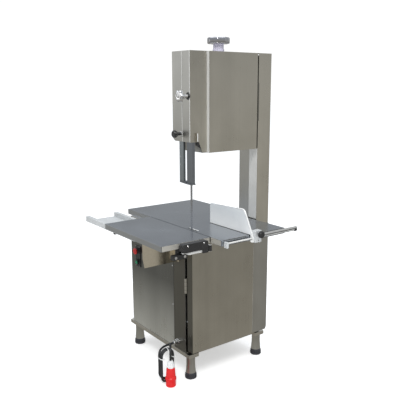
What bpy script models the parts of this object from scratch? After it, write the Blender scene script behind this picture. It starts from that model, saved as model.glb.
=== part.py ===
"""Butcher's bone saw: a floor-standing stainless band saw with a sliding table, a fixed table and a portion gauge.

Metres, +Z up, +X from the cutting run of the blade towards the column, +Y from the operator's side to the rear.
The dimensions are set out from a corner datum: Y = 0 is the outer face of the doors and X = 0 the left wall of the
cabinet. The last step moves everything so that the world origin is the middle of the footprint.
"""
import math

import bmesh
import bpy
from mathutils import Matrix, Vector

GAP = 0.0003
SHEET = 0.002
BASE_CENTRE = Vector((0.1345, 0.2000, 0.0))

# Heights
RIM_BOTTOM = 0.127
RIM_TOP = 0.148
CABINET_TOP = 0.8207
TABLE_TOP = 0.851
HOUSING_BOTTOM = 1.250
HOUSING_LEFT_BOTTOM = 1.306
HOUSING_TOP = 1.754
KNOB_LOW = 1.796
KNOB_HIGH = 1.829

# Cabinet and base
CABINET_WIDTH = 0.540
CABINET_FRONT = 0.068
CABINET_REAR = 0.637
LEG_X = (0.028, 0.510)
LEG_Y = (0.061, 0.613)
LEG_RADIUS = 0.0245
FOOT_RADIUS = 0.0325
FOOT_HEIGHT = 0.034
PANEL_FRONT = 0.176

# Doors
DOOR_RIGHT = 0.426
DOOR_DEPTH = 0.048
DOOR_BOTTOM = 0.170
DOOR_TOP = 0.790
UPPER_DOOR_LEFT = 0.010
UPPER_DOOR_STEP = 0.112
UPPER_DOOR_RIGHT = 0.434
UPPER_DOOR_BACK = 0.0237

# Upper housing and column
HOUSING_LEFT = 0.010
HOUSING_RIGHT = 0.4505
HOUSING_FRONT = 0.024
HOUSING_REAR = 0.180
NOTCH_X = (0.062, 0.084)
COLUMN_LEFT = 0.451
COLUMN_RIGHT = 0.542
COLUMN_FRONT = 0.011
COLUMN_SPLIT = 0.0785
COLUMN_REAR = 0.163

# Wheels and blade
WHEEL_X = 0.2455
WHEEL_RADIUS = 0.2149
WHEEL_Y = (0.040, 0.070)
UPPER_AXIS_Z = 1.500
LOWER_AXIS_Z = 0.500
BLADE_Y = (0.035, 0.053)
BLADE_INNER = 0.2155
BLADE_OUTER = 0.2163
ARC_STEPS = 24

# Tables
FIXED_LEFT = 0.0135
FIXED_FRONT = -0.225
FIXED_REAR = 0.690
FIXED_RIGHT_FRONT = 0.440
FIXED_RIGHT_REAR = 0.505
SLIDING_LEFT = -0.275
SLIDING_RIGHT = 0.0105
SLIDING_FRONT = -0.137
SLIDING_REAR = 0.430
TABLE_SHEET = 0.003

# Gauge
FENCE_X = 0.196
FENCE_THICKNESS = 0.006
GAUGE_ROD_Y = -0.2485
GAUGE_ROD_Z = 0.835
CARRIER_RIGHT = 0.245
LOCK_KNOB_X = 0.224
LOCK_KNOB_Z = 0.859


def clear_scene():
    for thing in list(bpy.data.objects):
        bpy.data.objects.remove(thing, do_unlink=True)


def material(name, colour, metallic, roughness):
    made = bpy.data.materials.new(name)
    made.use_nodes = True
    shader = made.node_tree.nodes["Principled BSDF"]
    shader.inputs["Base Color"].default_value = (*colour, 1.0)
    shader.inputs["Metallic"].default_value = metallic
    shader.inputs["Roughness"].default_value = roughness
    made.diffuse_color = (*colour, 1.0)
    return made


def steel(name):
    return material(name, (0.56, 0.56, 0.53), 1.0, 0.32)


def polished(name):
    return material(name, (0.75, 0.75, 0.76), 1.0, 0.12)


def plastic(name, colour, roughness=0.45):
    return material(name, colour, 0.0, roughness)


def link(name, mesh, look=None):
    made = bpy.data.objects.new(name, mesh)
    bpy.context.scene.collection.objects.link(made)
    if look is not None:
        mesh.materials.append(look(name + "_material"))
    return made


def mesh_from(name, work):
    bmesh.ops.recalc_face_normals(work, faces=work.faces)
    mesh = bpy.data.meshes.new(name)
    work.to_mesh(mesh)
    work.free()
    return mesh


def box(name, x, y, z, look=None):
    work = bmesh.new()
    bmesh.ops.create_cube(work, size=1.0)
    for vertex in work.verts:
        vertex.co = Vector((
            x[0] if vertex.co.x < 0 else x[1],
            y[0] if vertex.co.y < 0 else y[1],
            z[0] if vertex.co.z < 0 else z[1],
        ))
    return link(name, mesh_from(name, work), look)


def place_point(axis, first, second, along):
    """A point from two outline coordinates and the coordinate along the extrusion axis."""
    if axis == "X":
        return Vector((along, first, second))
    if axis == "Y":
        return Vector((first, along, second))
    return Vector((first, second, along))


def prism(name, outline, axis, low, high, look=None):
    """Extrude an outline. Axis X takes (y, z) points, axis Y (x, z) points and axis Z (x, y) points."""
    work = bmesh.new()
    near = [work.verts.new(place_point(axis, a, b, low)) for a, b in outline]
    far = [work.verts.new(place_point(axis, a, b, high)) for a, b in outline]
    count = len(outline)
    work.faces.new(near)
    work.faces.new(list(reversed(far)))
    for index in range(count):
        after = (index + 1) % count
        work.faces.new((near[index], far[index], far[after], near[after]))
    bmesh.ops.triangulate(work, faces=[face for face in work.faces if len(face.verts) > 4])
    return link(name, mesh_from(name, work), look)


def ring_prism(name, outer, inner, axis, low, high, look=None):
    """A closed band between two outlines with the same number of points."""
    work = bmesh.new()
    loops = [
        [work.verts.new(place_point(axis, a, b, along)) for a, b in outline]
        for outline, along in ((outer, low), (outer, high), (inner, high), (inner, low))
    ]
    count = len(outer)
    for first in range(4):
        second = (first + 1) % 4
        for index in range(count):
            after = (index + 1) % count
            work.faces.new((
                loops[first][index],
                loops[second][index],
                loops[second][after],
                loops[first][after],
            ))
    made = link(name, mesh_from(name, work), look)
    shade_smooth(made)
    return made


def turned(name, profile, centre, axis, segments=40, look=None):
    """Revolve (radius, distance) points about an axis through the centre. Zero radii close the ends."""
    work = bmesh.new()
    rings = []
    for radius, along in profile:
        if radius < 1e-7:
            rings.append([work.verts.new((0.0, 0.0, along))])
            continue
        rings.append([
            work.verts.new((
                radius * math.cos(2.0 * math.pi * step / segments),
                radius * math.sin(2.0 * math.pi * step / segments),
                along,
            ))
            for step in range(segments)
        ])
    closed = profile[0][0] > 1e-7
    pairs = list(zip(rings, rings[1:]))
    if closed:
        pairs.append((rings[-1], rings[0]))
    for lower, upper in pairs:
        if len(lower) == 1 and len(upper) == 1:
            continue
        for step in range(segments):
            after = (step + 1) % segments
            if len(lower) == 1:
                work.faces.new((lower[0], upper[step], upper[after]))
            elif len(upper) == 1:
                work.faces.new((lower[step], lower[after], upper[0]))
            else:
                work.faces.new((lower[step], lower[after], upper[after], upper[step]))
    turns = {
        "X": Matrix.Rotation(math.radians(90.0), 4, "Y"),
        "Y": Matrix.Rotation(math.radians(-90.0), 4, "X"),
        "Z": Matrix.Identity(4),
    }
    work.transform(Matrix.Translation(Vector(centre)) @ turns[axis])
    made = link(name, mesh_from(name, work), look)
    shade_smooth(made)
    return made


def rod(name, radius, start, length, axis, segments=24, look=None):
    return turned(name, [(0, 0), (radius, 0), (radius, length), (0, length)], start, axis, segments, look)


def shade_smooth(thing):
    """Smooth shading with sharp edges kept where the faces meet at more than 35 degrees."""
    work = bmesh.new()
    work.from_mesh(thing.data)
    for face in work.faces:
        face.smooth = True
    for edge in work.edges:
        edge.smooth = len(edge.link_faces) == 2 and edge.calc_face_angle(0.0) < math.radians(35.0)
    work.to_mesh(thing.data)
    work.free()


def as_tool(thing):
    thing.hide_render = True
    thing.display_type = "WIRE"
    return thing


def combine(thing, tool, operation):
    as_tool(tool)
    modifier = thing.modifiers.new(operation.title(), "BOOLEAN")
    modifier.operation = operation
    modifier.solver = "EXACT"
    modifier.object = tool


def cut(thing, *tools):
    for tool in tools:
        combine(thing, tool, "DIFFERENCE")


def join(thing, *tools):
    for tool in tools:
        combine(thing, tool, "UNION")


def ease(thing, width, segments=2):
    """Round the sharp edges of a piece."""
    modifier = thing.modifiers.new("Ease", "BEVEL")
    modifier.width = width
    modifier.segments = segments
    modifier.limit_method = "ANGLE"
    modifier.angle_limit = math.radians(40.0)
    modifier.use_clamp_overlap = True


def pivot(thing, point):
    """Put the origin of a piece on its joint axis without moving its surface."""
    point = Vector(point)
    thing.data.transform(Matrix.Translation(-point))
    thing.location = point


def rounded(corners, steps=4):
    """Outline from (a, b, radius) corners, each rounded by an arc when the radius is not zero."""
    points = []
    count = len(corners)
    for index, (a, b, radius) in enumerate(corners):
        here = Vector((a, b))
        if radius == 0:
            points.append((a, b))
            continue
        before = Vector(corners[index - 1][:2]) - here
        after = Vector(corners[(index + 1) % count][:2]) - here
        before.normalize()
        after.normalize()
        half = before.angle(after) / 2.0
        reach = radius / math.tan(half)
        centre = here + (before + after).normalized() * (radius / math.sin(half))
        start = here + before * reach - centre
        sweep = math.pi - 2.0 * half
        sign = -1.0 if before.cross(after) > 0 else 1.0
        for step in range(steps + 1):
            turn = sign * sweep * step / steps
            rotated = Matrix.Rotation(turn, 2) @ start
            points.append((centre.x + rotated.x, centre.y + rotated.y))
    return points


def racetrack(radius):
    """Outline of the blade loop in the wheel plane: two half circles joined by straight runs."""
    points = []
    for step in range(ARC_STEPS + 1):
        angle = math.pi * step / ARC_STEPS
        points.append((WHEEL_X + radius * math.cos(angle), UPPER_AXIS_Z + radius * math.sin(angle)))
    for step in range(ARC_STEPS + 1):
        angle = math.pi + math.pi * step / ARC_STEPS
        points.append((WHEEL_X + radius * math.cos(angle), LOWER_AXIS_Z + radius * math.sin(angle)))
    return points


# ---------------------------------------------------------------- base and cabinet


def build_base():
    frame = box("base_frame", (-0.004, 0.544), (0.064, 0.666), (RIM_BOTTOM, RIM_TOP), steel)
    cut(frame, box("cut_frame_middle", (0.034, 0.506), (0.102, 0.628), (0.10, 0.17)))
    for index, x in enumerate(LEG_X):
        low = max(-0.004, x - 0.032)
        tab = box(f"join_frame_tab_{index}", (low, x + 0.034), (0.030, 0.070), (RIM_BOTTOM, RIM_TOP))
        join(frame, tab)
    for index, (side, x) in enumerate((("left", LEG_X[0]), ("right", LEG_X[1]))):
        for end, y in (("front", LEG_Y[0]), ("rear", LEG_Y[1])):
            build_leg(f"{end}_{side}", x, y)


def build_leg(name, x, y):
    top = RIM_BOTTOM - GAP
    profile = [
        (0, FOOT_HEIGHT + GAP),
        (0.0285, FOOT_HEIGHT + GAP),
        (0.0262, 0.060),
        (LEG_RADIUS, 0.085),
        (LEG_RADIUS, top),
        (0, top),
    ]
    turned(f"leg_tube_{name}", profile, (x, y, 0.0), "Z", 24, steel)
    foot = [
        (0, 0),
        (FOOT_RADIUS - 0.002, 0),
        (FOOT_RADIUS, 0.003),
        (FOOT_RADIUS - 0.002, 0.012),
        (0.0292, FOOT_HEIGHT - 0.002),
        (0.0280, FOOT_HEIGHT),
        (0, FOOT_HEIGHT),
    ]
    turned(f"rubber_foot_{name}", foot, (x, y, 0.0), "Z", 24, lambda n: plastic(n, (0.03, 0.03, 0.03), 0.7))


def build_cabinet():
    low = RIM_TOP + GAP
    body = box("cabinet_body", (0.0, CABINET_WIDTH), (CABINET_FRONT, CABINET_REAR), (low, CABINET_TOP), steel)
    stile = prism(
        "join_stile",
        [(DOOR_RIGHT + 0.002, 0.182), (DOOR_RIGHT + 0.012, DOOR_BOTTOM), (0.531, DOOR_BOTTOM),
         (CABINET_WIDTH, 0.186), (CABINET_WIDTH, CABINET_TOP), (DOOR_RIGHT + 0.002, CABINET_TOP)],
        "Y", 0.006, CABINET_FRONT + 0.004,
    )
    join(body, stile)
    inside = box(
        "cut_cabinet_inside", (SHEET, CABINET_WIDTH - SHEET), (0.040, CABINET_REAR - SHEET),
        (low + 0.003, CABINET_TOP - 0.003),
    )
    stile_inside = box(
        "cut_stile_inside", (DOOR_RIGHT - 0.002, CABINET_WIDTH - SHEET), (0.008, 0.080),
        (0.188, CABINET_TOP - 0.003),
    )
    blade_way = box("cut_blade_return", (0.448, 0.474), (0.025, 0.064), (0.80, 0.84))
    panel_hole = box("cut_panel_hole", (-0.01, 0.01), (PANEL_FRONT + 0.012, 0.625), (0.185, 0.785))
    cut(body, inside, stile_inside, blade_way, panel_hole)

    panel = box("left_side_panel", (-SHEET - GAP, -GAP), (PANEL_FRONT, 0.634), (0.152, 0.812), steel)
    ease(panel, 0.0008, 1)

    door = box("cabinet_door", (0.0, DOOR_RIGHT), (0.0, DOOR_DEPTH), (DOOR_BOTTOM, DOOR_TOP), steel)
    cut(door, box("cut_door_inside", (SHEET, DOOR_RIGHT - SHEET), (SHEET, 0.06), (DOOR_BOTTOM + SHEET, 0.82)))
    cut(door, box("cut_door_wheel_side", (DOOR_RIGHT - 0.010, DOOR_RIGHT + 0.010), (0.030, 0.060), (0.10, 0.82)))
    ease(door, 0.0009, 2)
    hinge = (-0.001, 0.058)
    pivot(door, (*hinge, 0.0))
    build_hinge("cabinet_hinge", hinge, 0.501, 0.584, 0.009)


def build_hinge(name, centre, low, high, radius):
    """A sleeve that turns with its door round a fixed pin held by end cheeks on the frame side."""
    sleeve = turned(
        f"{name}_sleeve",
        [(radius * 0.5, low + 0.006), (radius, low + 0.006), (radius, high - 0.006), (radius * 0.5, high - 0.006)],
        (*centre, 0.0), "Z", 24, steel,
    )
    pivot(sleeve, (*centre, 0.0))
    core = radius * 0.5 - GAP
    turned(
        f"{name}_pin",
        [(0, low), (radius, low), (radius, low + 0.006 - GAP), (core, low + 0.006 - GAP),
         (core, high - 0.006 + GAP), (radius, high - 0.006 + GAP), (radius, high), (0, high)],
        (*centre, 0.0), "Z", 24, steel,
    )


# ---------------------------------------------------------------- column and upper housing


def build_column():
    tube = box("column_tube", (COLUMN_LEFT + 0.0005, COLUMN_RIGHT - 0.0005), (COLUMN_SPLIT, COLUMN_REAR),
               (CABINET_TOP + GAP, 1.7470), steel)
    cut(tube, box("cut_column_bore", (COLUMN_LEFT + 0.006, COLUMN_RIGHT - 0.006),
                  (COLUMN_SPLIT + 0.005, COLUMN_REAR - 0.005), (0.80, 1.742)))
    ease(tube, 0.0012, 2)
    cover = box("column_cover", (COLUMN_LEFT, COLUMN_RIGHT), (COLUMN_FRONT, COLUMN_SPLIT - GAP),
                (CABINET_TOP + GAP, HOUSING_TOP), steel)
    cut(
        cover,
        box("cut_cover_inside", (COLUMN_LEFT + SHEET, COLUMN_RIGHT - SHEET), (COLUMN_FRONT + SHEET, 0.09),
            (0.80, HOUSING_TOP - SHEET)),
        box("cut_cover_wheel_side", (COLUMN_LEFT - 0.01, COLUMN_LEFT + 0.02), (COLUMN_FRONT + SHEET, 0.09),
            (HOUSING_BOTTOM, HOUSING_TOP - SHEET)),
    )
    ease(cover, 0.0008, 2)


def build_housing():
    corner = [
        (HOUSING_FRONT, HOUSING_LEFT_BOTTOM, 0), (HOUSING_REAR, HOUSING_LEFT_BOTTOM, 0.026),
        (HOUSING_REAR, HOUSING_TOP, 0), (HOUSING_FRONT, HOUSING_TOP, 0),
    ]
    shell = prism("upper_housing", rounded(corner, 6), "X", HOUSING_LEFT, HOUSING_RIGHT, steel)
    belly = prism(
        "join_belly",
        [(NOTCH_X[0], HOUSING_LEFT_BOTTOM + 0.02), (NOTCH_X[0], HOUSING_LEFT_BOTTOM - 0.012),
         (NOTCH_X[1], HOUSING_BOTTOM), (HOUSING_RIGHT, HOUSING_BOTTOM), (HOUSING_RIGHT, HOUSING_LEFT_BOTTOM + 0.02)],
        "Y", HOUSING_FRONT, HOUSING_REAR - 0.0005,
    )
    join(shell, belly)
    inner_corner = [
        (-0.01, HOUSING_LEFT_BOTTOM + SHEET, 0), (HOUSING_REAR - SHEET, HOUSING_LEFT_BOTTOM + SHEET, 0.024),
        (HOUSING_REAR - SHEET, HOUSING_TOP - SHEET, 0), (-0.01, HOUSING_TOP - SHEET, 0),
    ]
    inside = prism("cut_housing_inside", rounded(inner_corner, 6), "X", HOUSING_LEFT + SHEET, 0.50)
    belly_inside = prism(
        "cut_belly_inside",
        [(NOTCH_X[0] + SHEET, HOUSING_LEFT_BOTTOM + 0.03), (NOTCH_X[0] + SHEET, HOUSING_LEFT_BOTTOM - 0.0115),
         (NOTCH_X[1] + 0.001, HOUSING_BOTTOM + SHEET), (0.50, HOUSING_BOTTOM + SHEET),
         (0.50, HOUSING_LEFT_BOTTOM + 0.03)],
        "Y", -0.01, HOUSING_REAR - SHEET - 0.0005,
    )
    guard_way = box("cut_guard_way", (0.0185, 0.0415), (0.010, 0.0755), (1.29, 1.32))
    post_way = box("cut_post_way", (0.0125, 0.0315), (0.0905, 0.1325), (1.29, 1.32))
    lock_hole = rod("cut_lock_hole", 0.0062, (-0.01, 0.041, 1.535), 0.04, "X", 20)
    clamp_hole = rod("cut_clamp_hole", 0.0052, (-0.01, 0.112, 1.345), 0.04, "X", 20)
    screw_hole = rod("cut_screw_hole", 0.0095, (WHEEL_X, 0.098, 1.72), 0.06, "Z", 20)
    cut(shell, inside, belly_inside, guard_way, post_way, lock_hole, clamp_hole, screw_hole)

    door = prism(
        "upper_door",
        [(UPPER_DOOR_LEFT, HOUSING_LEFT_BOTTOM), (NOTCH_X[0], HOUSING_LEFT_BOTTOM),
         (NOTCH_X[0] + 0.022, HOUSING_LEFT_BOTTOM - 0.022), (NOTCH_X[0] + 0.022, HOUSING_BOTTOM),
         (UPPER_DOOR_RIGHT, HOUSING_BOTTOM), (UPPER_DOOR_RIGHT, HOUSING_TOP - 0.001),
         (UPPER_DOOR_LEFT, HOUSING_TOP - 0.001)],
        "Y", UPPER_DOOR_BACK - SHEET, UPPER_DOOR_BACK, steel,
    )
    raised = box("join_door_raised", (UPPER_DOOR_STEP, UPPER_DOOR_RIGHT), (0.0, UPPER_DOOR_BACK),
                 (HOUSING_BOTTOM, HOUSING_TOP - 0.001))
    flange = box("join_door_flange", (0.0160, 0.0180), (UPPER_DOOR_BACK - 0.001, 0.040), (1.335, 1.735))
    hollow = box("cut_door_hollow", (UPPER_DOOR_STEP + SHEET, UPPER_DOOR_RIGHT - SHEET), (SHEET, 0.05),
                 (HOUSING_BOTTOM + SHEET, HOUSING_TOP - 0.001 - SHEET))
    pull_front = UPPER_DOOR_BACK - SHEET - 0.0123
    pull = prism(
        "join_door_pull",
        rounded([(UPPER_DOOR_BACK - 0.001, 1.308, 0), (UPPER_DOOR_BACK - 0.001, 1.353, 0), (pull_front, 1.353, 0.005),
                 (pull_front, 1.308, 0.005)], 3),
        "X", 0.042, 0.0475,
    )
    join(door, raised, flange, pull)
    cut(door, hollow)
    ease(door, 0.0008, 2)
    hinge = (0.4425, 0.003)
    pivot(door, (*hinge, 0.0))
    build_hinge("upper_hinge", hinge, 1.400, 1.600, 0.0048)

    build_star_knob("door_lock_knob", (HOUSING_LEFT, 0.041, 1.535), 0.030, polished)


def lobed(radius, lobes, depth, steps):
    """Outline of a knob with rounded lobes, as (a, b) offsets from its centre."""
    return [
        (
            (radius - depth * (0.5 - 0.5 * math.cos(lobes * angle))) * math.cos(angle),
            (radius - depth * (0.5 - 0.5 * math.cos(lobes * angle))) * math.sin(angle),
        )
        for angle in (2.0 * math.pi * step / steps for step in range(steps))
    ]


def build_star_knob(name, foot, radius, look):
    """A lobed knob on the left wall, with its shank through the wall."""
    x, y, z = foot
    outline = [(y + a, z + b) for a, b in lobed(radius, 6, radius * 0.22, 48)]
    knob = prism(name, outline, "X", x - 0.060, x - 0.040, look)
    ease(knob, 0.003, 2)
    neck = turned("join_neck_" + name, [(0, -0.042), (0.013, -0.042), (0.010, -0.006), (0.010, -GAP), (0.0052, -GAP),
                                        (0.0052, 0.0035), (0, 0.0035)], foot, "X", 24)
    join(knob, neck)
    shade_smooth(knob)
    pivot(knob, foot)


# ---------------------------------------------------------------- wheels, drive and tension


def build_wheel(name, height):
    front, back = WHEEL_Y
    profile = [
        (0.0135, front - 0.004), (0.034, front - 0.004), (0.036, front + 0.010), (0.178, front + 0.012),
        (0.190, front), (WHEEL_RADIUS, front), (WHEEL_RADIUS, back), (0.190, back), (0.178, front + 0.018),
        (0.036, front + 0.020), (0.036, back + 0.004), (0.0135, back + 0.004),
    ]
    wheel = turned(name, profile, (WHEEL_X, 0.0, height), "Y", 2 * ARC_STEPS, steel)
    for index in range(5):
        angle = 2.0 * math.pi * index / 5 + 0.3
        hole = rod(
            f"cut_{name}_{index}", 0.036,
            (WHEEL_X + 0.110 * math.cos(angle), 0.02, height + 0.110 * math.sin(angle)), 0.07, "Y", 14,
        )
        cut(wheel, hole)
    pivot(wheel, (WHEEL_X, 0.055, height))
    return wheel


def build_drive():
    build_wheel("lower_wheel", LOWER_AXIS_Z)
    build_wheel("upper_wheel", UPPER_AXIS_Z)
    shaft = rod("drive_shaft", 0.0132, (WHEEL_X, 0.030, LOWER_AXIS_Z), 0.140, "Y", 28, polished)
    pivot(shaft, (WHEEL_X, 0.055, LOWER_AXIS_Z))
    mount = box("motor_mount", (SHEET + GAP, CABINET_WIDTH - SHEET - GAP), (0.100, 0.106), (0.280, 0.720),
                lambda n: material(n, (0.35, 0.36, 0.37), 1.0, 0.5))
    cut(mount, rod("cut_mount_bore", 0.020, (WHEEL_X, 0.09, LOWER_AXIS_Z), 0.03, "Y", 28))
    motor = turned(
        "motor",
        [(0.0140, 0.106 + GAP), (0.100, 0.106 + GAP), (0.100, 0.116), (0.085, 0.118), (0.085, 0.330),
         (0.088, 0.332), (0.088, 0.372), (0.070, 0.384), (0, 0.384), (0, 0.172), (0.0140, 0.172)],
        (WHEEL_X, 0.0, LOWER_AXIS_Z), "Y", 40,
        lambda n: material(n, (0.10, 0.16, 0.24), 0.0, 0.5),
    )
    join(motor, box("join_terminal_box", (WHEEL_X - 0.050, WHEEL_X + 0.050), (0.180, 0.275),
                    (LOWER_AXIS_Z + 0.07, LOWER_AXIS_Z + 0.125)))


def build_tension():
    guide = box("carriage_guide", (WHEEL_X - 0.043, WHEEL_X + 0.043), (0.086, HOUSING_REAR - SHEET - GAP),
                (1.370, 1.630), steel)
    cut(guide, box("cut_guide_way", (WHEEL_X - 0.0315, WHEEL_X + 0.0315), (0.05, 0.142), (1.30, 1.70)))
    carriage = box("wheel_carriage", (WHEEL_X - 0.031, WHEEL_X + 0.031), (0.0785, 0.1415), (1.445, 1.560),
                   lambda n: material(n, (0.33, 0.34, 0.35), 1.0, 0.5))
    ease(carriage, 0.002, 1)
    cut(carriage, rod("cut_carriage_thread", 0.0083, (WHEEL_X, 0.098, 1.50), 0.08, "Z", 24))
    pivot(carriage, (WHEEL_X, 0.098, 1.50))
    axle = rod("upper_axle", 0.0132, (WHEEL_X, 0.030, UPPER_AXIS_Z), 0.0482, "Y", 28, polished)
    pivot(axle, (WHEEL_X, 0.055, UPPER_AXIS_Z))
    screw = rod("tension_screw", 0.0080, (WHEEL_X, 0.098, 1.510), KNOB_LOW - GAP - 1.510, "Z", 24, polished)
    pivot(screw, (WHEEL_X, 0.098, KNOB_LOW))
    foot = HOUSING_TOP + GAP
    turned(
        "tension_collar",
        [(0.0083, foot), (0.0300, foot), (0.0300, foot + 0.014), (0.0275, foot + 0.018), (0.0275, KNOB_LOW - 0.006),
         (0.0290, KNOB_LOW - 0.0004), (0.0083, KNOB_LOW - 0.0004)],
        (WHEEL_X, 0.098, 0.0), "Z", 32, lambda n: plastic(n, (0.80, 0.79, 0.88)),
    )
    outline = [(WHEEL_X + a, 0.098 + b) for a, b in lobed(0.0585, 8, 0.006, 64)]
    knob = prism("tension_knob", outline, "Z", KNOB_LOW, KNOB_HIGH, polished)
    ease(knob, 0.0025, 2)
    shade_smooth(knob)
    pivot(knob, (WHEEL_X, 0.098, KNOB_LOW))


def build_blade():
    ring_prism("saw_blade", racetrack(BLADE_OUTER), racetrack(BLADE_INNER), "Y", BLADE_Y[0], BLADE_Y[1], polished)


def build_guides():
    post = box("guide_post", (0.0150, 0.0290), (0.0930, 0.1300), (1.1010, 1.6200), steel)
    ease(post, 0.001, 1)
    guard = box("blade_guard", (0.0215, 0.0385), (0.0245, 0.0720), (1.0945, 1.3200), steel)
    cut(guard, box("cut_guard_inside", (0.0230, 0.0370), (0.0260, 0.0900), (1.05, 1.35)))
    bracket = prism(
        "guide_bracket",
        [(0.0245, 1.0880), (0.0600, 1.0880), (0.1300, 1.0920), (0.1300, 1.1007), (0.0800, 1.1007),
         (0.0730, 1.0942), (0.0245, 1.0942)],
        "X", 0.0150, 0.0420, steel,
    )
    cut(bracket, box("cut_bracket_slot", (0.0275, 0.0325), (0.010, 0.0580), (1.07, 1.12)))
    lower = box("lower_guide", (0.0185, 0.0410), (0.0290, CABINET_FRONT - GAP), (0.770, 0.795),
                lambda n: plastic(n, (0.85, 0.85, 0.82)))
    cut(lower, box("cut_lower_slot", (0.0285, 0.0315), (0.010, 0.0560), (0.75, 0.82)))
    knob = turned(
        "guide_clamp_knob",
        [(0, -0.045), (0.0150, -0.045), (0.0178, -0.041), (0.0178, -0.030), (0.0150, -0.024), (0.0085, -0.022),
         (0.0085, -GAP), (0.0044, -GAP), (0.0044, 0.0046), (0, 0.0046)],
        (HOUSING_LEFT, 0.112, 1.345), "X", 32, lambda n: plastic(n, (0.02, 0.02, 0.02)),
    )
    pivot(knob, (HOUSING_LEFT, 0.112, 1.345))


# ---------------------------------------------------------------- tables


def build_tables():
    outline = [
        (FIXED_LEFT, FIXED_FRONT), (FIXED_RIGHT_FRONT, FIXED_FRONT), (FIXED_RIGHT_FRONT, 0.172),
        (FIXED_RIGHT_REAR, 0.172), (FIXED_RIGHT_REAR, FIXED_REAR), (FIXED_LEFT, FIXED_REAR),
    ]
    fixed = prism("fixed_table", outline, "Z", CABINET_TOP + GAP, TABLE_TOP, steel)
    wall = TABLE_SHEET
    inner = [
        (FIXED_LEFT + wall, FIXED_FRONT + wall), (FIXED_RIGHT_FRONT - wall, FIXED_FRONT + wall),
        (FIXED_RIGHT_FRONT - wall, 0.172 + wall), (FIXED_RIGHT_REAR - wall, 0.172 + wall),
        (FIXED_RIGHT_REAR - wall, FIXED_REAR - wall), (FIXED_LEFT + wall, FIXED_REAR - wall),
    ]
    hollow = prism("cut_fixed_hollow", inner, "Z", 0.80, TABLE_TOP - TABLE_SHEET)
    slot = box("cut_blade_slot", (0.0260, 0.0345), (-0.004, 0.076), (0.84, 0.86))
    cut(fixed, hollow, slot)
    ease(fixed, 0.0012, 2)

    sliding = box("sliding_table", (SLIDING_LEFT, SLIDING_RIGHT), (SLIDING_FRONT, SLIDING_REAR),
                  (0.8222, TABLE_TOP), steel)
    cut(sliding, box("cut_sliding_hollow", (SLIDING_LEFT + 0.003, SLIDING_RIGHT - 0.002),
                     (SLIDING_FRONT + 0.003, 0.50), (0.80, TABLE_TOP - TABLE_SHEET)))
    ease(sliding, 0.0012, 2)
    pivot(sliding, (-0.132, 0.146, TABLE_TOP))

    rails = box("rail_frame", (-0.2715, -0.0670), (0.120, 0.677), (0.8180, 0.8472), steel)
    cut(rails, box("cut_rail_middle", (-0.2480, -0.0900), (0.10, 0.70), (0.8225, 0.86)))
    cut(rails, box("cut_rail_outer", (-0.2700, -0.2495), (0.10, 0.70), (0.8195, 0.8455)))
    cut(rails, box("cut_rail_inner", (-0.0885, -0.0685), (0.10, 0.70), (0.8195, 0.8455)))

    bracket = prism(
        "rail_bracket",
        [(-0.2000, 0.7000), (-0.1900, 0.6500), (-GAP, 0.6500), (-GAP, 0.8170), (-0.2000, 0.8170)],
        "Y", 0.163, 0.1665, steel,
    )
    foot = box("join_bracket_foot", (-0.0035, -GAP), (0.120, 0.1655), (0.660, 0.810))
    top = box("join_bracket_top", (-0.2000, -0.0120), (0.1250, 0.1655), (0.8135, 0.8177))
    join(bracket, foot, top)

    grip = prism(
        "table_grip",
        rounded([(-0.186, 0.8110, 0.010), (-0.0360, 0.8110, 0), (-0.0360, 0.8530, 0.008), (-0.186, 0.8530, 0.010)], 3),
        "Y", -0.186, -0.1520,
        lambda n: plastic(n, (0.02, 0.02, 0.02)),
    )
    join(grip, box("join_grip_end", (-0.0660, -0.0358), (-0.1855, -0.1525), (0.7925, 0.8400)))
    ease(grip, 0.004, 2)
    bar = box("grip_bar", (-0.1650, -0.0520), (-0.1515, SLIDING_FRONT - GAP), (0.7960, 0.8480), polished)
    join(bar, box("join_bar_front", (-0.1480, -0.0670), (-0.1780, -0.1400), (0.7960, 0.8085)))
    ease(bar, 0.0015, 2)
    block = box("table_slide_block", (-0.2160, -0.1350), (-0.1500, -0.1240), (0.7720, 0.7955),
                lambda n: plastic(n, (0.02, 0.02, 0.02)))
    join(block, box("join_block_stem", (-0.1900, -0.1600), (-0.1335, -0.1245), (0.7900, 0.8477)))
    ease(block, 0.0015, 2)


# ---------------------------------------------------------------- portion gauge


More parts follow.
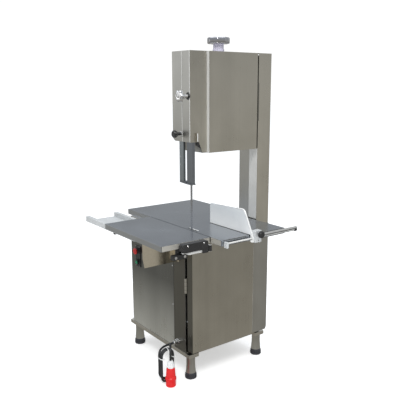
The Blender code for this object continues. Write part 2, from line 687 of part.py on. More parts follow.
def build_gauge():
    plate = prism(
        "gauge_plate",
        rounded([(0.104, 0.8525, 0.004), (0.104, 0.9620, 0.010), (-0.178, 0.9730, 0.014), (-0.2480, 0.8380, 0.004),
                 (-0.2480, 0.8150, 0.003), (-0.2300, 0.8150, 0.003), (-0.2300, 0.8525, 0)], 4),
        "X", FENCE_X, FENCE_X + FENCE_THICKNESS, polished,
    )
    ease(plate, 0.0012, 2)
    cut(plate, rod("cut_plate_rod_way", 0.0062, (FENCE_X - 0.02, GAUGE_ROD_Y + 0.0085, GAUGE_ROD_Z), 0.05, "X", 20))
    carrier_x = (FENCE_X + FENCE_THICKNESS + GAP, CARRIER_RIGHT)
    carrier = box("gauge_carrier", carrier_x, (-0.2600, -0.2290), (0.8150, 0.8760), steel)
    ease(carrier, 0.002, 2)
    cut(carrier, rod("cut_carrier_bore", 0.0056, (0.15, GAUGE_ROD_Y + 0.0085, GAUGE_ROD_Z), 0.2, "X", 24))
    rod("gauge_rod_lower", 0.0052, (0.0400, GAUGE_ROD_Y + 0.0085, GAUGE_ROD_Z), 0.4680, "X", 24, polished)
    rod("gauge_rod_upper", 0.0072, (CARRIER_RIGHT + GAP, GAUGE_ROD_Y, 0.8485), 0.2590, "X", 24, steel)
    end = box("rod_end_bracket", (0.0270, 0.0400 - GAP), (-0.2520, FIXED_FRONT - GAP), (0.8130, 0.8440), steel)
    ease(end, 0.003, 2)
    knob = turned(
        "gauge_lock_knob",
        [(0, -0.2900), (0.0140, -0.2900), (0.0170, -0.2870), (0.0170, -0.2740), (0.0120, -0.2700),
         (0.0080, -0.2600 - GAP), (0, -0.2600 - GAP)],
        (LOCK_KNOB_X, 0.0, LOCK_KNOB_Z), "Y", 32, lambda n: plastic(n, (0.02, 0.02, 0.02)),
    )
    pivot(knob, (LOCK_KNOB_X, -0.275, LOCK_KNOB_Z))


# ---------------------------------------------------------------- controls and lead


STOP = (0.552, 0.622)
START = (0.552, 0.553)
PANEL_FACE = -SHEET - GAP


def build_controls():
    plate = box("switch_bezel", (PANEL_FACE - GAP - 0.004, PANEL_FACE - GAP), (0.526, 0.578), (0.524, 0.654),
                lambda n: plastic(n, (0.03, 0.03, 0.03)))
    face = PANEL_FACE - GAP - 0.004
    for index, (y, z) in enumerate((STOP, START)):
        join(plate, rod(f"join_collar_{index}", 0.0165, (face - 0.010, y, z), 0.012, "X", 28))
        cut(plate, rod(f"cut_collar_{index}", 0.0115, (face - 0.02, y, z), 0.0215, "X", 28))
    stop = turned(
        "stop_button",
        [(0, -0.026), (0.0120, -0.026), (0.0180, -0.022), (0.0195, -0.018), (0.0180, -0.0155), (0.0110, -0.0155),
         (0.0110, -0.0035), (0, -0.0035)],
        (face, *STOP), "X", 32, lambda n: plastic(n, (0.75, 0.03, 0.03), 0.3),
    )
    pivot(stop, (face, *STOP))
    start = turned(
        "start_button", [(0, -0.0140), (0.0095, -0.0140), (0.0110, -0.0125), (0.0110, -0.0035), (0, -0.0035)],
        (face, *START), "X", 28, lambda n: plastic(n, (0.05, 0.45, 0.12), 0.3),
    )
    pivot(start, (face, *START))


GLAND = (0.0, 0.143, 0.190)
GLAND_LENGTH = 0.034
CORD_RADIUS = 0.006
RUN_LEFT = -0.1445
RUN_RIGHT = -0.0715
RUN_LAYERS = (0.0865, 0.0993, 0.1121)
FOLD_RADIUS = (RUN_RIGHT - RUN_LEFT) / 2.0
HANK_LOW = 0.0005
HANK_HIGH = 0.2005
REAR_HIGH = 0.150
PLUG_CENTRE = (-0.112, 0.050)
PLUG_HEIGHT = 0.148
ARCH_HEIGHT = 0.179


def hank_outline(high, top_radius):
    reach = FOLD_RADIUS + CORD_RADIUS
    low = (RUN_LEFT - CORD_RADIUS, RUN_RIGHT + CORD_RADIUS)
    return rounded([(low[0], HANK_LOW, reach), (low[1], HANK_LOW, reach), (low[1], high, top_radius),
                    (low[0], high, top_radius)], 8)


def build_hank():
    """The folded lead: three runs deep up to the ties, with the rearmost runs leaving it lower down."""
    middle = (RUN_LAYERS[1] + RUN_LAYERS[2]) / 2.0
    black = lambda n: plastic(n, (0.03, 0.03, 0.03), 0.55)
    hank = prism("cord_hank", hank_outline(HANK_HIGH, FOLD_RADIUS + CORD_RADIUS), "Y",
                 RUN_LAYERS[0] - CORD_RADIUS, middle, black)
    rear = prism("join_hank_rear", hank_outline(REAR_HIGH, 0.0), "Y", middle - 0.003, RUN_LAYERS[2] + CORD_RADIUS)
    join(hank, rear)


def build_lead():
    x, y, z = GLAND
    turned(
        "cable_gland",
        [(0, -GLAND_LENGTH), (0.0100, -GLAND_LENGTH), (0.0125, -0.028), (0.0125, -0.016), (0.0150, -0.014),
         (0.0150, -0.003), (0.0170, -0.003), (0.0170, -GAP), (0, -GAP)],
        (x, y, z), "X", 24, polished,
    )
    build_hank()
    curve_cord("power_cord", gland_route())
    curve_cord("plug_lead", plug_route())
    plug_x, plug_y = PLUG_CENTRE
    turned(
        "plug_body",
        [(0, 0.0005), (0.0250, 0.0005), (0.0270, 0.0025), (0.0270, 0.036), (0.0295, 0.040), (0.0295, 0.050),
         (0.0260, 0.054), (0.0230, 0.100), (0.0190, 0.106), (0, 0.106)],
        (plug_x, plug_y, 0.0), "Z", 36, lambda n: plastic(n, (0.80, 0.04, 0.03), 0.35),
    )
    turned(
        "plug_gland",
        [(0, 0.106 + GAP), (0.0175, 0.106 + GAP), (0.0185, 0.110), (0.0170, 0.134), (0.0110, PLUG_HEIGHT),
         (0, PLUG_HEIGHT)],
        (plug_x, plug_y, 0.0), "Z", 28, lambda n: plastic(n, (0.80, 0.80, 0.78)),
    )


def bezier(start, leave, arrive, finish, steps):
    points = []
    for step in range(steps + 1):
        t = step / steps
        points.append(
            start * (1 - t) ** 3 + leave * 3 * t * (1 - t) ** 2 + arrive * 3 * t * t * (1 - t) + finish * t ** 3
        )
    return points


def gland_route():
    """From the gland level to the left, then bending down into the hank's rear left run."""
    start = Vector((GLAND[0] - GLAND_LENGTH - GAP, *GLAND[1:]))
    finish = Vector((RUN_LEFT, RUN_LAYERS[2], REAR_HIGH + GAP))
    out = start + Vector((-0.006, 0.0, 0.0))
    down = finish + Vector((0.0, 0.0, 0.006))
    return [start, *bezier(out, out + Vector((-0.070, 0.0, 0.0)), down + Vector((0.0, 0.0, 0.042)), down, 8), finish]


def plug_route():
    """From the hank's rear right run up, over the folds in a half circle and down into the plug."""
    rise = Vector((RUN_RIGHT, RUN_LAYERS[2], 0.0))
    fall = Vector((*PLUG_CENTRE, 0.0))
    middle = (rise + fall) / 2.0
    half = (rise - fall) / 2.0
    points = [Vector((*rise.xy, REAR_HIGH + GAP))]
    steps = 8
    for step in range(steps + 1):
        angle = math.pi * step / steps
        lift = Vector((0.0, 0.0, ARCH_HEIGHT + half.length * math.sin(angle)))
        points.append(middle + half * math.cos(angle) + lift)
    points.append(Vector((*fall.xy, PLUG_HEIGHT + GAP)))
    return points


def curve_cord(name, points):
    curve = bpy.data.curves.new(name, "CURVE")
    curve.dimensions = "3D"
    curve.bevel_depth = CORD_RADIUS
    curve.bevel_resolution = 2
    curve.use_fill_caps = True
    spline = curve.splines.new("POLY")
    spline.points.add(len(points) - 1)
    for slot, point in zip(spline.points, points):
        slot.co = (*point, 1.0)
    curve.materials.append(plastic(name + "_material", (0.03, 0.03, 0.03), 0.55))
    made = bpy.data.objects.new(name, curve)
    bpy.context.scene.collection.objects.link(made)


def centre_on_base():
    """Put the world origin at the middle of the machine's footprint, on the floor."""
    for thing in bpy.data.objects:
        thing.location -= BASE_CENTRE


clear_scene()
build_base()
build_cabinet()
build_column()
build_housing()
build_drive()
build_tension()
build_blade()
build_guides()
build_tables()
build_gauge()
build_controls()
build_lead()
centre_on_base()
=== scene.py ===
"""The look of the butcher's bone saw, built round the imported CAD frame.

Positions are written from the same corner datum as the CAD: X = 0 is the left wall of the cabinet, Y = 0 the
outer face of the doors and Z = 0 the floor. DATUM, worked out from the frame, takes them to the row frame.
"""
import math
from itertools import product

import bmesh
import bpy
from mathutils import Matrix, Vector


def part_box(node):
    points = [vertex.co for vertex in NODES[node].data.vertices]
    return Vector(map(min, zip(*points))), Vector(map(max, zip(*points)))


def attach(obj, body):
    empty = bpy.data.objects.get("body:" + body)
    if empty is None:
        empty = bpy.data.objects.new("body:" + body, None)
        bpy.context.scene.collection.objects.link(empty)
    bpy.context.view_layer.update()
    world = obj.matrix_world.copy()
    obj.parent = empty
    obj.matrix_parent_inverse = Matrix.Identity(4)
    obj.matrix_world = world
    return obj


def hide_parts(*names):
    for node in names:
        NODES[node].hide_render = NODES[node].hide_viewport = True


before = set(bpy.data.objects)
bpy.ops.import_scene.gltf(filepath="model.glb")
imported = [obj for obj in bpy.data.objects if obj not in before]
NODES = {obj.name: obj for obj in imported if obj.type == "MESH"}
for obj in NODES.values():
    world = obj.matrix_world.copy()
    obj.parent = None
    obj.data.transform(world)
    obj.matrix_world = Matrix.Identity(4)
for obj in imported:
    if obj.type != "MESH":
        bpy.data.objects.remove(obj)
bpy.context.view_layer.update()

DATUM = Vector((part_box("cabinet_body")[0].x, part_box("cabinet_door")[0].y, 0.0))
MACHINE = "machine_frame"

LEFT, RIGHT = (-1, 0, 0), (1, 0, 0)
FRONT, REAR = (0, -1, 0), (0, 1, 0)
DOWN, UP = (0, 0, -1), (0, 0, 1)

CAMERA_PLACE = Vector((-1.634, -2.293, 1.583))
CAMERA_FORWARD = Vector((0.5926, 0.7766, -0.2141))
CAMERA_LENS = 48.45
SENSOR_WIDTH = 36.0
FLOOR_SIZE = 40.0
FLOOR_DROP = 0.0003
FLOOR_GLOW = 0.46


def add_object(name, data):
    """A new object in the scene."""
    made = bpy.data.objects.new(name, data)
    bpy.context.scene.collection.objects.link(made)
    return made


def low(node):
    """A CAD node's lowest corner, from the datum."""
    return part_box(node)[0] - DATUM


def high(node):
    """A CAD node's highest corner, from the datum."""
    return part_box(node)[1] - DATUM


# ---- camera, stage and lights


def make_camera():
    data = bpy.data.cameras.new("camera")
    data.lens = CAMERA_LENS
    data.sensor_width = SENSOR_WIDTH
    data.clip_start = 0.05
    data.clip_end = 200.0
    camera = add_object("camera", data)
    camera.location = CAMERA_PLACE + DATUM
    camera.rotation_euler = CAMERA_FORWARD.to_track_quat("-Z", "Y").to_euler()
    bpy.context.scene.camera = camera


def make_floor():
    """A pale floor just under the feet, which glows a little so that it stays white."""
    work = bmesh.new()
    bmesh.ops.create_grid(work, x_segments=1, y_segments=1, size=FLOOR_SIZE)
    mesh = bpy.data.meshes.new("floor")
    work.to_mesh(mesh)
    work.free()
    floor = add_object("floor", mesh)
    floor.location = (0.0, 0.0, -FLOOR_DROP)
    paint, _, shader = new_material("floor_paint", (0.96, 0.96, 0.96), 0.0, 0.9)
    shader.inputs["Emission Color"].default_value = (1.0, 1.0, 1.0, 1.0)
    shader.inputs["Emission Strength"].default_value = FLOOR_GLOW
    mesh.materials.append(paint)
    floor.visible_glossy = False


def add_area(name, place, target, size, power, colour):
    """A rectangular soft light at a place, turned towards a target."""
    data = bpy.data.lights.new(name, "AREA")
    data.shape = "RECTANGLE"
    data.size, data.size_y = size
    data.energy = power
    data.color = colour
    lamp = add_object(name, data)
    lamp.location = place
    lamp.rotation_euler = (Vector(target) - Vector(place)).to_track_quat("-Z", "Y").to_euler()


def make_lights():
    middle = (0.05, 0.0, 0.9)
    housing = (0.0, 0.1, 1.5)
    add_area("key_light", place=(-1.9, -2.6, 4.3), target=middle, size=(1.6, 1.6), power=106.0,
             colour=(1.0, 0.985, 0.96))
    add_area("fill_light", place=(3.4, -2.4, 2.4), target=middle, size=(2.4, 2.4), power=3.5,
             colour=(1.0, 0.99, 0.97))
    add_area("top_light", place=(0.3, 0.6, 4.0), target=middle, size=(3.0, 3.0), power=40.0,
             colour=(0.96, 0.98, 1.0))
    add_area("rear_light", place=(-2.9, 3.2, 1.9), target=housing, size=(3.0, 1.6), power=7.5,
             colour=(0.98, 0.99, 1.0))


ROOM_TONES = (
    (0.0, (0.20, 0.19, 0.17)),
    (0.36, (0.34, 0.33, 0.30)),
    (0.50, (0.46, 0.46, 0.44)),
    (0.62, (0.40, 0.42, 0.44)),
    (1.0, (0.85, 0.88, 0.92)),
)
BACKDROP_STRENGTH = 1.05


def add_node(tree, kind, **values):
    """A new shader node, with values for its inputs; an input's name has _ in place of spaces."""
    node = tree.nodes.new("ShaderNode" + kind)
    for name, value in values.items():
        node.inputs[name.replace("_", " ")].default_value = value
    return node


def make_world():
    """Soft studio surroundings: a bright ceiling over a darker room, and white where the camera looks."""
    world = bpy.data.worlds.new("studio")
    bpy.context.scene.world = world
    world.use_nodes = True
    tree = world.node_tree
    tree.nodes.clear()
    place = add_node(tree, "TexCoord")
    split = add_node(tree, "SeparateXYZ")
    ramp = add_node(tree, "ValToRGB")
    shift = add_node(tree, "MapRange", From_Min=-1.0)
    room = add_node(tree, "Background", Strength=1.0)
    white = add_node(tree, "Background", Color=(1.0, 1.0, 1.0, 1.0), Strength=BACKDROP_STRENGTH)
    light_path = add_node(tree, "LightPath")
    mix = add_node(tree, "MixShader")
    out = add_node(tree, "OutputWorld")
    tree.links.new(place.outputs["Generated"], split.inputs[0])
    tree.links.new(split.outputs["Z"], shift.inputs["Value"])
    tree.links.new(shift.outputs[0], ramp.inputs[0])
    for index, (position, colour) in enumerate(ROOM_TONES):
        stop = ramp.color_ramp.elements[index] if index < 2 else ramp.color_ramp.elements.new(position)
        stop.position = position
        stop.color = (*colour, 1.0)
    tree.links.new(ramp.outputs["Color"], room.inputs["Color"])
    tree.links.new(light_path.outputs["Is Camera Ray"], mix.inputs["Fac"])
    tree.links.new(room.outputs[0], mix.inputs[1])
    tree.links.new(white.outputs[0], mix.inputs[2])
    tree.links.new(mix.outputs[0], out.inputs["Surface"])
    bpy.context.scene.view_settings.view_transform = "Standard"


# ---- materials


def new_material(name, colour, metallic, roughness):
    """A material with its node tree and shader."""
    made = bpy.data.materials.new(name)
    made.use_nodes = True
    shader = made.node_tree.nodes["Principled BSDF"]
    shader.inputs["Base Color"].default_value = (*colour, 1.0)
    shader.inputs["Metallic"].default_value = metallic
    shader.inputs["Roughness"].default_value = roughness
    return made, made.node_tree, shader


def object_noise(tree, scale, detail, stretch=(1.0, 1.0, 1.0), distortion=0.0):
    """Noise fixed to the object; a small stretch draws it out along that axis."""
    place = add_node(tree, "TexCoord")
    mapping = add_node(tree, "Mapping", Scale=stretch)
    noise = add_node(tree, "TexNoise", Scale=scale, Detail=detail, Distortion=distortion)
    tree.links.new(place.outputs["Object"], mapping.inputs["Vector"])
    tree.links.new(mapping.outputs["Vector"], noise.inputs["Vector"])
    return noise.outputs["Fac"]


def remap(tree, value, to_min, to_max, from_min=0.3, from_max=0.7):
    """A value brought from one range to another; most noise falls within the range given by default."""
    node = add_node(tree, "MapRange", From_Min=from_min, From_Max=from_max, To_Min=to_min, To_Max=to_max)
    tree.links.new(value, node.inputs["Value"])
    return node.outputs["Result"]


def add_up(tree, *values):
    """The sum of values, each a number or a socket."""
    total = values[0]
    for value in values[1:]:
        node = add_node(tree, "Math")
        node.operation = "ADD"
        for slot, term in enumerate((total, value)):
            if isinstance(term, (int, float)):
                node.inputs[slot].default_value = term
            else:
                tree.links.new(term, node.inputs[slot])
        total = node.outputs[0]
    return total


def roughen(tree, shader, *values):
    """A roughness that is the sum of values."""
    tree.links.new(add_up(tree, *values), shader.inputs["Roughness"])


def tint(tree, shader, factor, dark, light):
    """A base colour that goes from dark to light with the factor."""
    node = add_node(tree, "Mix")
    node.data_type = "RGBA"
    node.inputs["A"].default_value = (*dark, 1.0)
    node.inputs["B"].default_value = (*light, 1.0)
    tree.links.new(factor, node.inputs["Factor"])
    tree.links.new(node.outputs["Result"], shader.inputs["Base Color"])


def bump(tree, shader, height, strength, distance):
    node = add_node(tree, "Bump", Strength=strength, Distance=distance)
    tree.links.new(height, node.inputs["Height"])
    tree.links.new(node.outputs["Normal"], shader.inputs["Normal"])


GRAINS = {
    "X": (0.02, 1.0, 1.0),
    "Y": (1.0, 0.02, 1.0),
    "Z": (1.0, 1.0, 0.02),
}
FINE_GRAIN = 900.0
COARSE_GRAIN = 120.0
UPRIGHT_DRIFT, LEVEL_DRIFT = 8.0, 1.7


def shaded(colour, gain):
    """A colour made darker or lighter, kept within range."""
    return tuple(min(1.0, channel * gain) for channel in colour)


def brushed_steel(name, colour, roughness, grain="Z", streak=0.05, smudge=0.07):
    """Stainless sheet with long parallel grain lines and cloudy smudges from handling."""
    made, tree, shader = new_material(name, colour, 1.0, roughness)
    stretch = GRAINS[grain]
    fine = object_noise(tree, FINE_GRAIN, 2.0, stretch)
    coarse = object_noise(tree, COARSE_GRAIN, 4.0, stretch)
    cloud = object_noise(tree, 5.0, 5.0, (1.0, 1.0, 1.0), 0.6)
    drift = object_noise(tree, UPRIGHT_DRIFT if grain == "Z" else LEVEL_DRIFT, 2.0, stretch)
    lines = add_up(tree, remap(tree, fine, -streak, streak), remap(tree, coarse, -streak, streak))
    tone = add_up(tree, lines, remap(tree, cloud, -0.14, 0.14), remap(tree, drift, 0.32, 0.68))
    tint(tree, shader, tone, shaded(colour, 0.80), shaded(colour, 1.20))
    roughen(tree, shader, remap(tree, cloud, -smudge, smudge), roughness, remap(tree, coarse, -0.03, 0.03))
    bump(tree, shader, lines, 0.5 * streak, 0.0001)
    shader.inputs["Anisotropic"].default_value = 0.35
    return made


def place_along(tree, coordinate, axis):
    """One component of a texture coordinate, such as the height or the sideways part of the normal."""
    split = add_node(tree, "SeparateXYZ")
    tree.links.new(add_node(tree, "TexCoord").outputs[coordinate], split.inputs[0])
    return split.outputs[axis]


def shade_along(made, coordinate, axis, gains, span):
    """A finished base colour multiplied by gains that change over a span of a texture coordinate."""
    tree = made.node_tree
    shader = tree.nodes["Principled BSDF"]
    tone = shader.inputs["Base Color"].links[0].from_socket
    gain = remap(tree, place_along(tree, coordinate, axis), *gains, *span)
    scale = add_node(tree, "VectorMath")
    scale.operation = "SCALE"
    tree.links.new(tone, scale.inputs[0])
    tree.links.new(gain, scale.inputs["Scale"])
    tree.links.new(scale.outputs[0], shader.inputs["Base Color"])
    return made


def lower_lit_steel(name, colour, roughness, gains, heights):
    """Brushed upright sheet with painted light and shade: its brightness changes with height."""
    return shade_along(brushed_steel(name, colour, roughness), "Object", "Z", gains, heights)


def table_steel(name, colour):
    """Table sheet with a faint grain and a painted highlight: its folded left lips are brighter than its top.
    """
    sheet = brushed_steel(name, colour, 0.22, "Y", 0.012, 0.04)
    return shade_along(sheet, "Normal", "X", (1.60, 1.0), (-1.0, -0.5))


def polished_steel(name, colour=(0.80, 0.80, 0.80), roughness=0.12):
    """Smooth bright metal with faint cloudy marks."""
    made, tree, shader = new_material(name, colour, 1.0, roughness)
    cloud = object_noise(tree, 60.0, 4.0)
    swirl = object_noise(tree, 500.0, 2.0, (1.0, 0.2, 1.0))
    tint(tree, shader, remap(tree, cloud, 0.2, 0.9), shaded(colour, 0.9), colour)
    roughen(tree, shader, remap(tree, cloud, -0.04, 0.06), roughness)
    bump(tree, shader, swirl, 0.06, 0.0003)
    return made


def gauge_sheet(name, colour):
    """The gauge's pale glossy plate, with a painted sheen that makes it brighter towards its foot."""
    made, tree, shader = new_material(name, colour, 0.15, 0.12)
    cloud = object_noise(tree, 9.0, 4.0, (1.0, 1.0, 1.0), 0.8)
    foot = remap(tree, place_along(tree, "Object", "Z"), 1.0, 0.30, 0.865, 0.945)
    tone = add_up(tree, foot, remap(tree, cloud, -0.14, 0.14))
    tint(tree, shader, tone, colour, shaded(colour, 1.45))
    roughen(tree, shader, remap(tree, cloud, -0.04, 0.06), 0.14)
    bump(tree, shader, cloud, 0.03, 0.0003)
    return made


def satin_edge(name, colour):
    """A satin finish that scatters light as well as mirrors it, for rails and rods, and for edges, bends and
    flanges painted bright as highlights.
    """
    made, tree, shader = new_material(name, colour, 0.25, 0.38)
    cloud = object_noise(tree, 14.0, 4.0)
    grain = object_noise(tree, 700.0, 2.0, (1.0, 1.0, 0.05))
    tone = add_up(tree, remap(tree, cloud, 0.1, 0.9), remap(tree, grain, -0.1, 0.1))
    tint(tree, shader, tone, shaded(colour, 0.86), colour)
    roughen(tree, shader, remap(tree, cloud, -0.06, 0.06), 0.38)
    bump(tree, shader, grain, 0.05, 0.0002)
    return made


def drawn_rod(name, colour):
    """A satin guide rod with painted shade: its underside is darker than its top."""
    return shade_along(satin_edge(name, colour), "Normal", "Z", (0.22, 1.0), (-0.45, 0.15))


def moulded(name, colour, roughness, grain=0.12, fade=0.25):
    """Moulded plastic or rubber with a fine pebble and slight fading."""
    made, tree, shader = new_material(name, colour, 0.0, roughness)
    pebble = object_noise(tree, 1400.0, 2.0)
    cloud = object_noise(tree, 22.0, 4.0)
    lift = fade * (0.18 if max(colour) > 0.2 else 0.02)
    light = tuple(min(1.0, channel + lift) for channel in colour)
    tint(tree, shader, remap(tree, cloud, 0.0, 1.0), colour, light)
    roughen(tree, shader, remap(tree, cloud, -0.07, 0.09), roughness)
    bump(tree, shader, pebble, grain, 0.0004)
    return made


def make_materials():
    return {
        # Painted light and shade: the front, door and side sheets change brightness with height, and the side
        # sheet is painted darker than the front.
        "front": lower_lit_steel("brushed_front", (0.54, 0.515, 0.455), 0.33, (1.20, 0.86), (1.05, 1.74)),
        "door": lower_lit_steel("brushed_door", (0.54, 0.515, 0.455), 0.33, (1.15, 0.92), (0.17, 0.79)),
        "panel": brushed_steel("brushed_panel", (0.52, 0.515, 0.49), 0.36),
        "table": table_steel("brushed_table", (0.355, 0.375, 0.405)),
        "side": lower_lit_steel("brushed_side", (0.445, 0.455, 0.445), 0.32, (1.90, 0.50), (0.14, 0.52)),
        "bracket": polished_steel("bracket_steel", (0.90, 0.83, 0.70), 0.20),
        "post": brushed_steel("guide_post_steel", (0.36, 0.40, 0.43), 0.34),
        "guard": brushed_steel("guard_steel", (0.27, 0.29, 0.32), 0.36),
        "rail": satin_edge("rail_steel", (0.66, 0.68, 0.69)),
        "bright": satin_edge("bright_edge", (0.76, 0.76, 0.74)),
        "white_edge": satin_edge("white_edge", (0.96, 0.965, 0.96)),
        "lit": satin_edge("lit_flange", (0.44, 0.425, 0.385)),
        "rod": drawn_rod("guide_rod_steel", (0.84, 0.84, 0.82)),
        "shade": brushed_steel("shaded_flange", (0.20, 0.195, 0.175), 0.40),
        "dark_chrome": polished_steel("dark_chrome", (0.50, 0.50, 0.53), 0.10),
        "bar": drawn_rod("brushed_bar", (0.42, 0.42, 0.41)),
        "frame": brushed_steel("brushed_frame", (0.64, 0.62, 0.57), 0.34, "X"),
        "leg": brushed_steel("brushed_leg", (0.55, 0.545, 0.51), 0.44),
        "cast": brushed_steel("machined_casting", (0.40, 0.41, 0.42), 0.45, "X", 0.04, 0.12),
        "polished": polished_steel("polished_steel"),
        "chrome": polished_steel("bright_chrome", (0.86, 0.86, 0.87), 0.07),
        "gauge": gauge_sheet("gauge_plate_sheet", (0.68, 0.72, 0.75)),
        "blade": polished_steel("blade_steel", (0.42, 0.43, 0.45), 0.24),
        "black": moulded("black_plastic", (0.018, 0.018, 0.019), 0.34),
        "rubber": moulded("foot_rubber", (0.045, 0.046, 0.055), 0.62, 0.3),
        "cord": moulded("cord_rubber", (0.022, 0.023, 0.026), 0.42, 0.2),
        "red": moulded("red_plug_plastic", (0.74, 0.006, 0.008), 0.40, 0.08, 0.03),
        "stop": moulded("red_button_plastic", (0.42, 0.006, 0.006), 0.25, 0.04, 0.1),
        "green": moulded("green_button_plastic", (0.008, 0.20, 0.09), 0.22, 0.04, 0.1),
        "white": moulded("white_plastic", (0.78, 0.79, 0.79), 0.35, 0.08, 0.2),
        "lavender": moulded("collar_plastic", (0.62, 0.60, 0.74), 0.30, 0.06, 0.2),
        "paint": moulded("motor_paint", (0.06, 0.10, 0.15), 0.45, 0.25),
        "copper": polished_steel("pin_brass", (0.83, 0.66, 0.36), 0.2),
    }


# ---- mesh helpers


TINY = 1e-7


def place_point(axis, first, second, along):
    """A point from its distance along an axis and its two coordinates across it."""
    if axis == "X":
        return Vector((along, first, second))
    if axis == "Y":
        return Vector((first, along, second))
    return Vector((first, second, along))


def axis_frame(direction):
    """The direction as a unit vector, and two unit vectors across it."""
    direction = Vector(direction).normalized()
    side = Vector(UP) if abs(direction.z) < 0.9 else Vector(RIGHT)
    first = direction.cross(side).normalized()
    return direction, first, direction.cross(first).normalized()


def around(count, start=0.0):
    """The cosine and sine of evenly spaced angles round a circle."""
    for index in range(count):
        angle = start + 2 * math.pi * index / count
        yield math.cos(angle), math.sin(angle)


def circle(centre, first, second, radius, count):
    """Evenly spaced points round a circle in the plane of two unit vectors."""
    return [centre + first * radius * across + second * radius * up for across, up in around(count)]


def bridge(work, lower, upper):
    """Quads between two rings with the same number of vertices."""
    for step in range(len(lower)):
        after = (step + 1) % len(lower)
        work.faces.new((lower[step], lower[after], upper[after], upper[step]))


def add_box(work, x, y, z):
    corners = [work.verts.new(corner) for corner in product(x, y, z)]
    for face in ((0, 1, 3, 2), (4, 6, 7, 5), (0, 4, 5, 1), (2, 3, 7, 6), (0, 2, 6, 4), (1, 5, 7, 3)):
        work.faces.new([corners[index] for index in face])


def add_prism(work, outline, axis, start, end):
    """A closed outline pushed along an axis."""
    near = [work.verts.new(place_point(axis, a, b, start)) for a, b in outline]
    far = [work.verts.new(place_point(axis, a, b, end)) for a, b in outline]
    work.faces.new(near)
    work.faces.new(list(reversed(far)))
    bridge(work, far, near)


def add_turned(work, profile, centre, direction, segments):
    """Revolve (radius, distance) points about a direction through the centre."""
    along, first, second = axis_frame(direction)
    rings = []
    for radius, distance in profile:
        middle = Vector(centre) + along * distance
        points = circle(middle, first, second, radius, segments) if radius > TINY else [middle]
        rings.append([work.verts.new(point) for point in points])
    pairs = list(zip(rings, rings[1:]))
    if profile[0][0] > TINY:
        pairs.append((rings[-1], rings[0]))
    for lower, upper in pairs:
        if len(lower) > 1 and len(upper) > 1:
            bridge(work, lower, upper)
        elif len(lower) > 1 or len(upper) > 1:
            tip, ring = (lower[0], upper) if len(lower) == 1 else (upper[0], lower)
            for step in range(segments):
                work.faces.new((tip, ring[step], ring[(step + 1) % segments]))


def add_screw(work, centre, direction, radius):
    """A pan-head screw with a round socket; its profile is written in head radii."""
    profile = [(0.0, 0.35), (0.38, 0.35), (0.42, 0.72), (0.72, 0.62), (1.0, 0.28), (1.0, 0.0), (0.0, 0.0)]
    add_turned(work, [(radius * out, radius * along) for out, along in profile], centre, direction, 16)


def add_bolt(work, centre, direction, radius):
    """A hexagon bolt head on a washer."""
    washer, shoulder, crown = 0.0012, radius * 0.75, radius * 0.85
    disc = [(0, 0.0), (radius * 1.5, 0.0), (radius * 1.5, washer), (0, washer)]
    add_turned(work, disc, centre, direction, 20)
    head = [(0, washer), (radius, washer), (radius, shoulder), (radius * 0.88, crown), (0, crown)]
    add_turned(work, head, centre, direction, 6)


def add_fixings(work, add_head, radius, direction, xs, ys, zs):
    """The same screw or bolt at every combination of the given places."""
    for place in product(xs, ys, zs):
        add_head(work, place, direction, radius)


def add_tube(work, points, radius, sides, closed=False):
    """A tube along points, with flat caps where it is open."""
    rings = []
    count = len(points)
    normal = None
    for index, point in enumerate(points):
        before = points[index - 1] if index or closed else point
        after = points[(index + 1) % count] if index + 1 < count or closed else point
        along = (Vector(after) - Vector(before)).normalized()
        if normal is None:
            normal = axis_frame(along)[1]
        normal = (normal - along * normal.dot(along)).normalized()
        ring = circle(Vector(point), normal, along.cross(normal), radius, sides)
        rings.append([work.verts.new(corner) for corner in ring])
    for lower, upper in zip(rings, rings[1:]):
        bridge(work, lower, upper)
    if closed:
        bridge(work, rings[-1], rings[0])
    else:
        work.faces.new(list(reversed(rings[0])))
        work.faces.new(rings[-1])


def add_ring(work, centre, axis, radius, thick, steps=48):
    """A closed round bead about an axis."""
    _, first, second = axis_frame(axis)
    add_tube(work, circle(Vector(centre), first, second, radius, steps), thick, 8, closed=True)


def add_ribs(work, count, axis, middle, ends, thick):
    """Round ribs about an axis, each between two (distance along the axis, radius) ends."""
    for across, up in around(count):
        line = [
            place_point(axis, middle[0] + reach * across, middle[1] + reach * up, along)
            for along, reach in ends
        ]
        add_tube(work, line, thick, 8)


def piece(name, work, look, body, bevel=0.0, angle=35.0):
    """Turn a mesh in datum coordinates into a finished piece that rides on a body."""
    bmesh.ops.recalc_face_normals(work, faces=work.faces)
    bmesh.ops.translate(work, verts=work.verts, vec=DATUM)
    mesh = bpy.data.meshes.new(name)
    work.to_mesh(mesh)
    work.free()
    mesh.materials.append(LOOKS[look])
    mesh.shade_smooth()
    mesh.set_sharp_from_angle(angle=math.radians(angle))
    made = add_object(name, mesh)
    if bevel:
        add_bevel(made, bevel)
    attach(made, body)
    return made


def fixings_piece(name, body, *groups, look="chrome"):
    """A piece of screws or bolts; each group is what add_fixings takes."""
    work = bmesh.new()
    for group in groups:
        add_fixings(work, *group)
    piece(name, work, look, body)


def turned_piece(name, profile, centre, direction, segments, look, bevel=0.0):
    """A piece of one turned part that stays with the machine."""
    work = bmesh.new()
    add_turned(work, profile, centre, direction, segments)
    piece(name, work, look, MACHINE, bevel)


def add_bevel(thing, width):
    """Rounded edges, with normals weighted so that the flats stay flat."""
    modifier = thing.modifiers.new("Edges", "BEVEL")
    modifier.width = width
    modifier.segments = 2
    modifier.limit_method = "ANGLE"
    modifier.angle_limit = math.radians(38.0)
    modifier.use_clamp_overlap = True
    weigh = thing.modifiers.new("Shading", "WEIGHTED_NORMAL")
    weigh.keep_sharp = True


# ---- CAD nodes


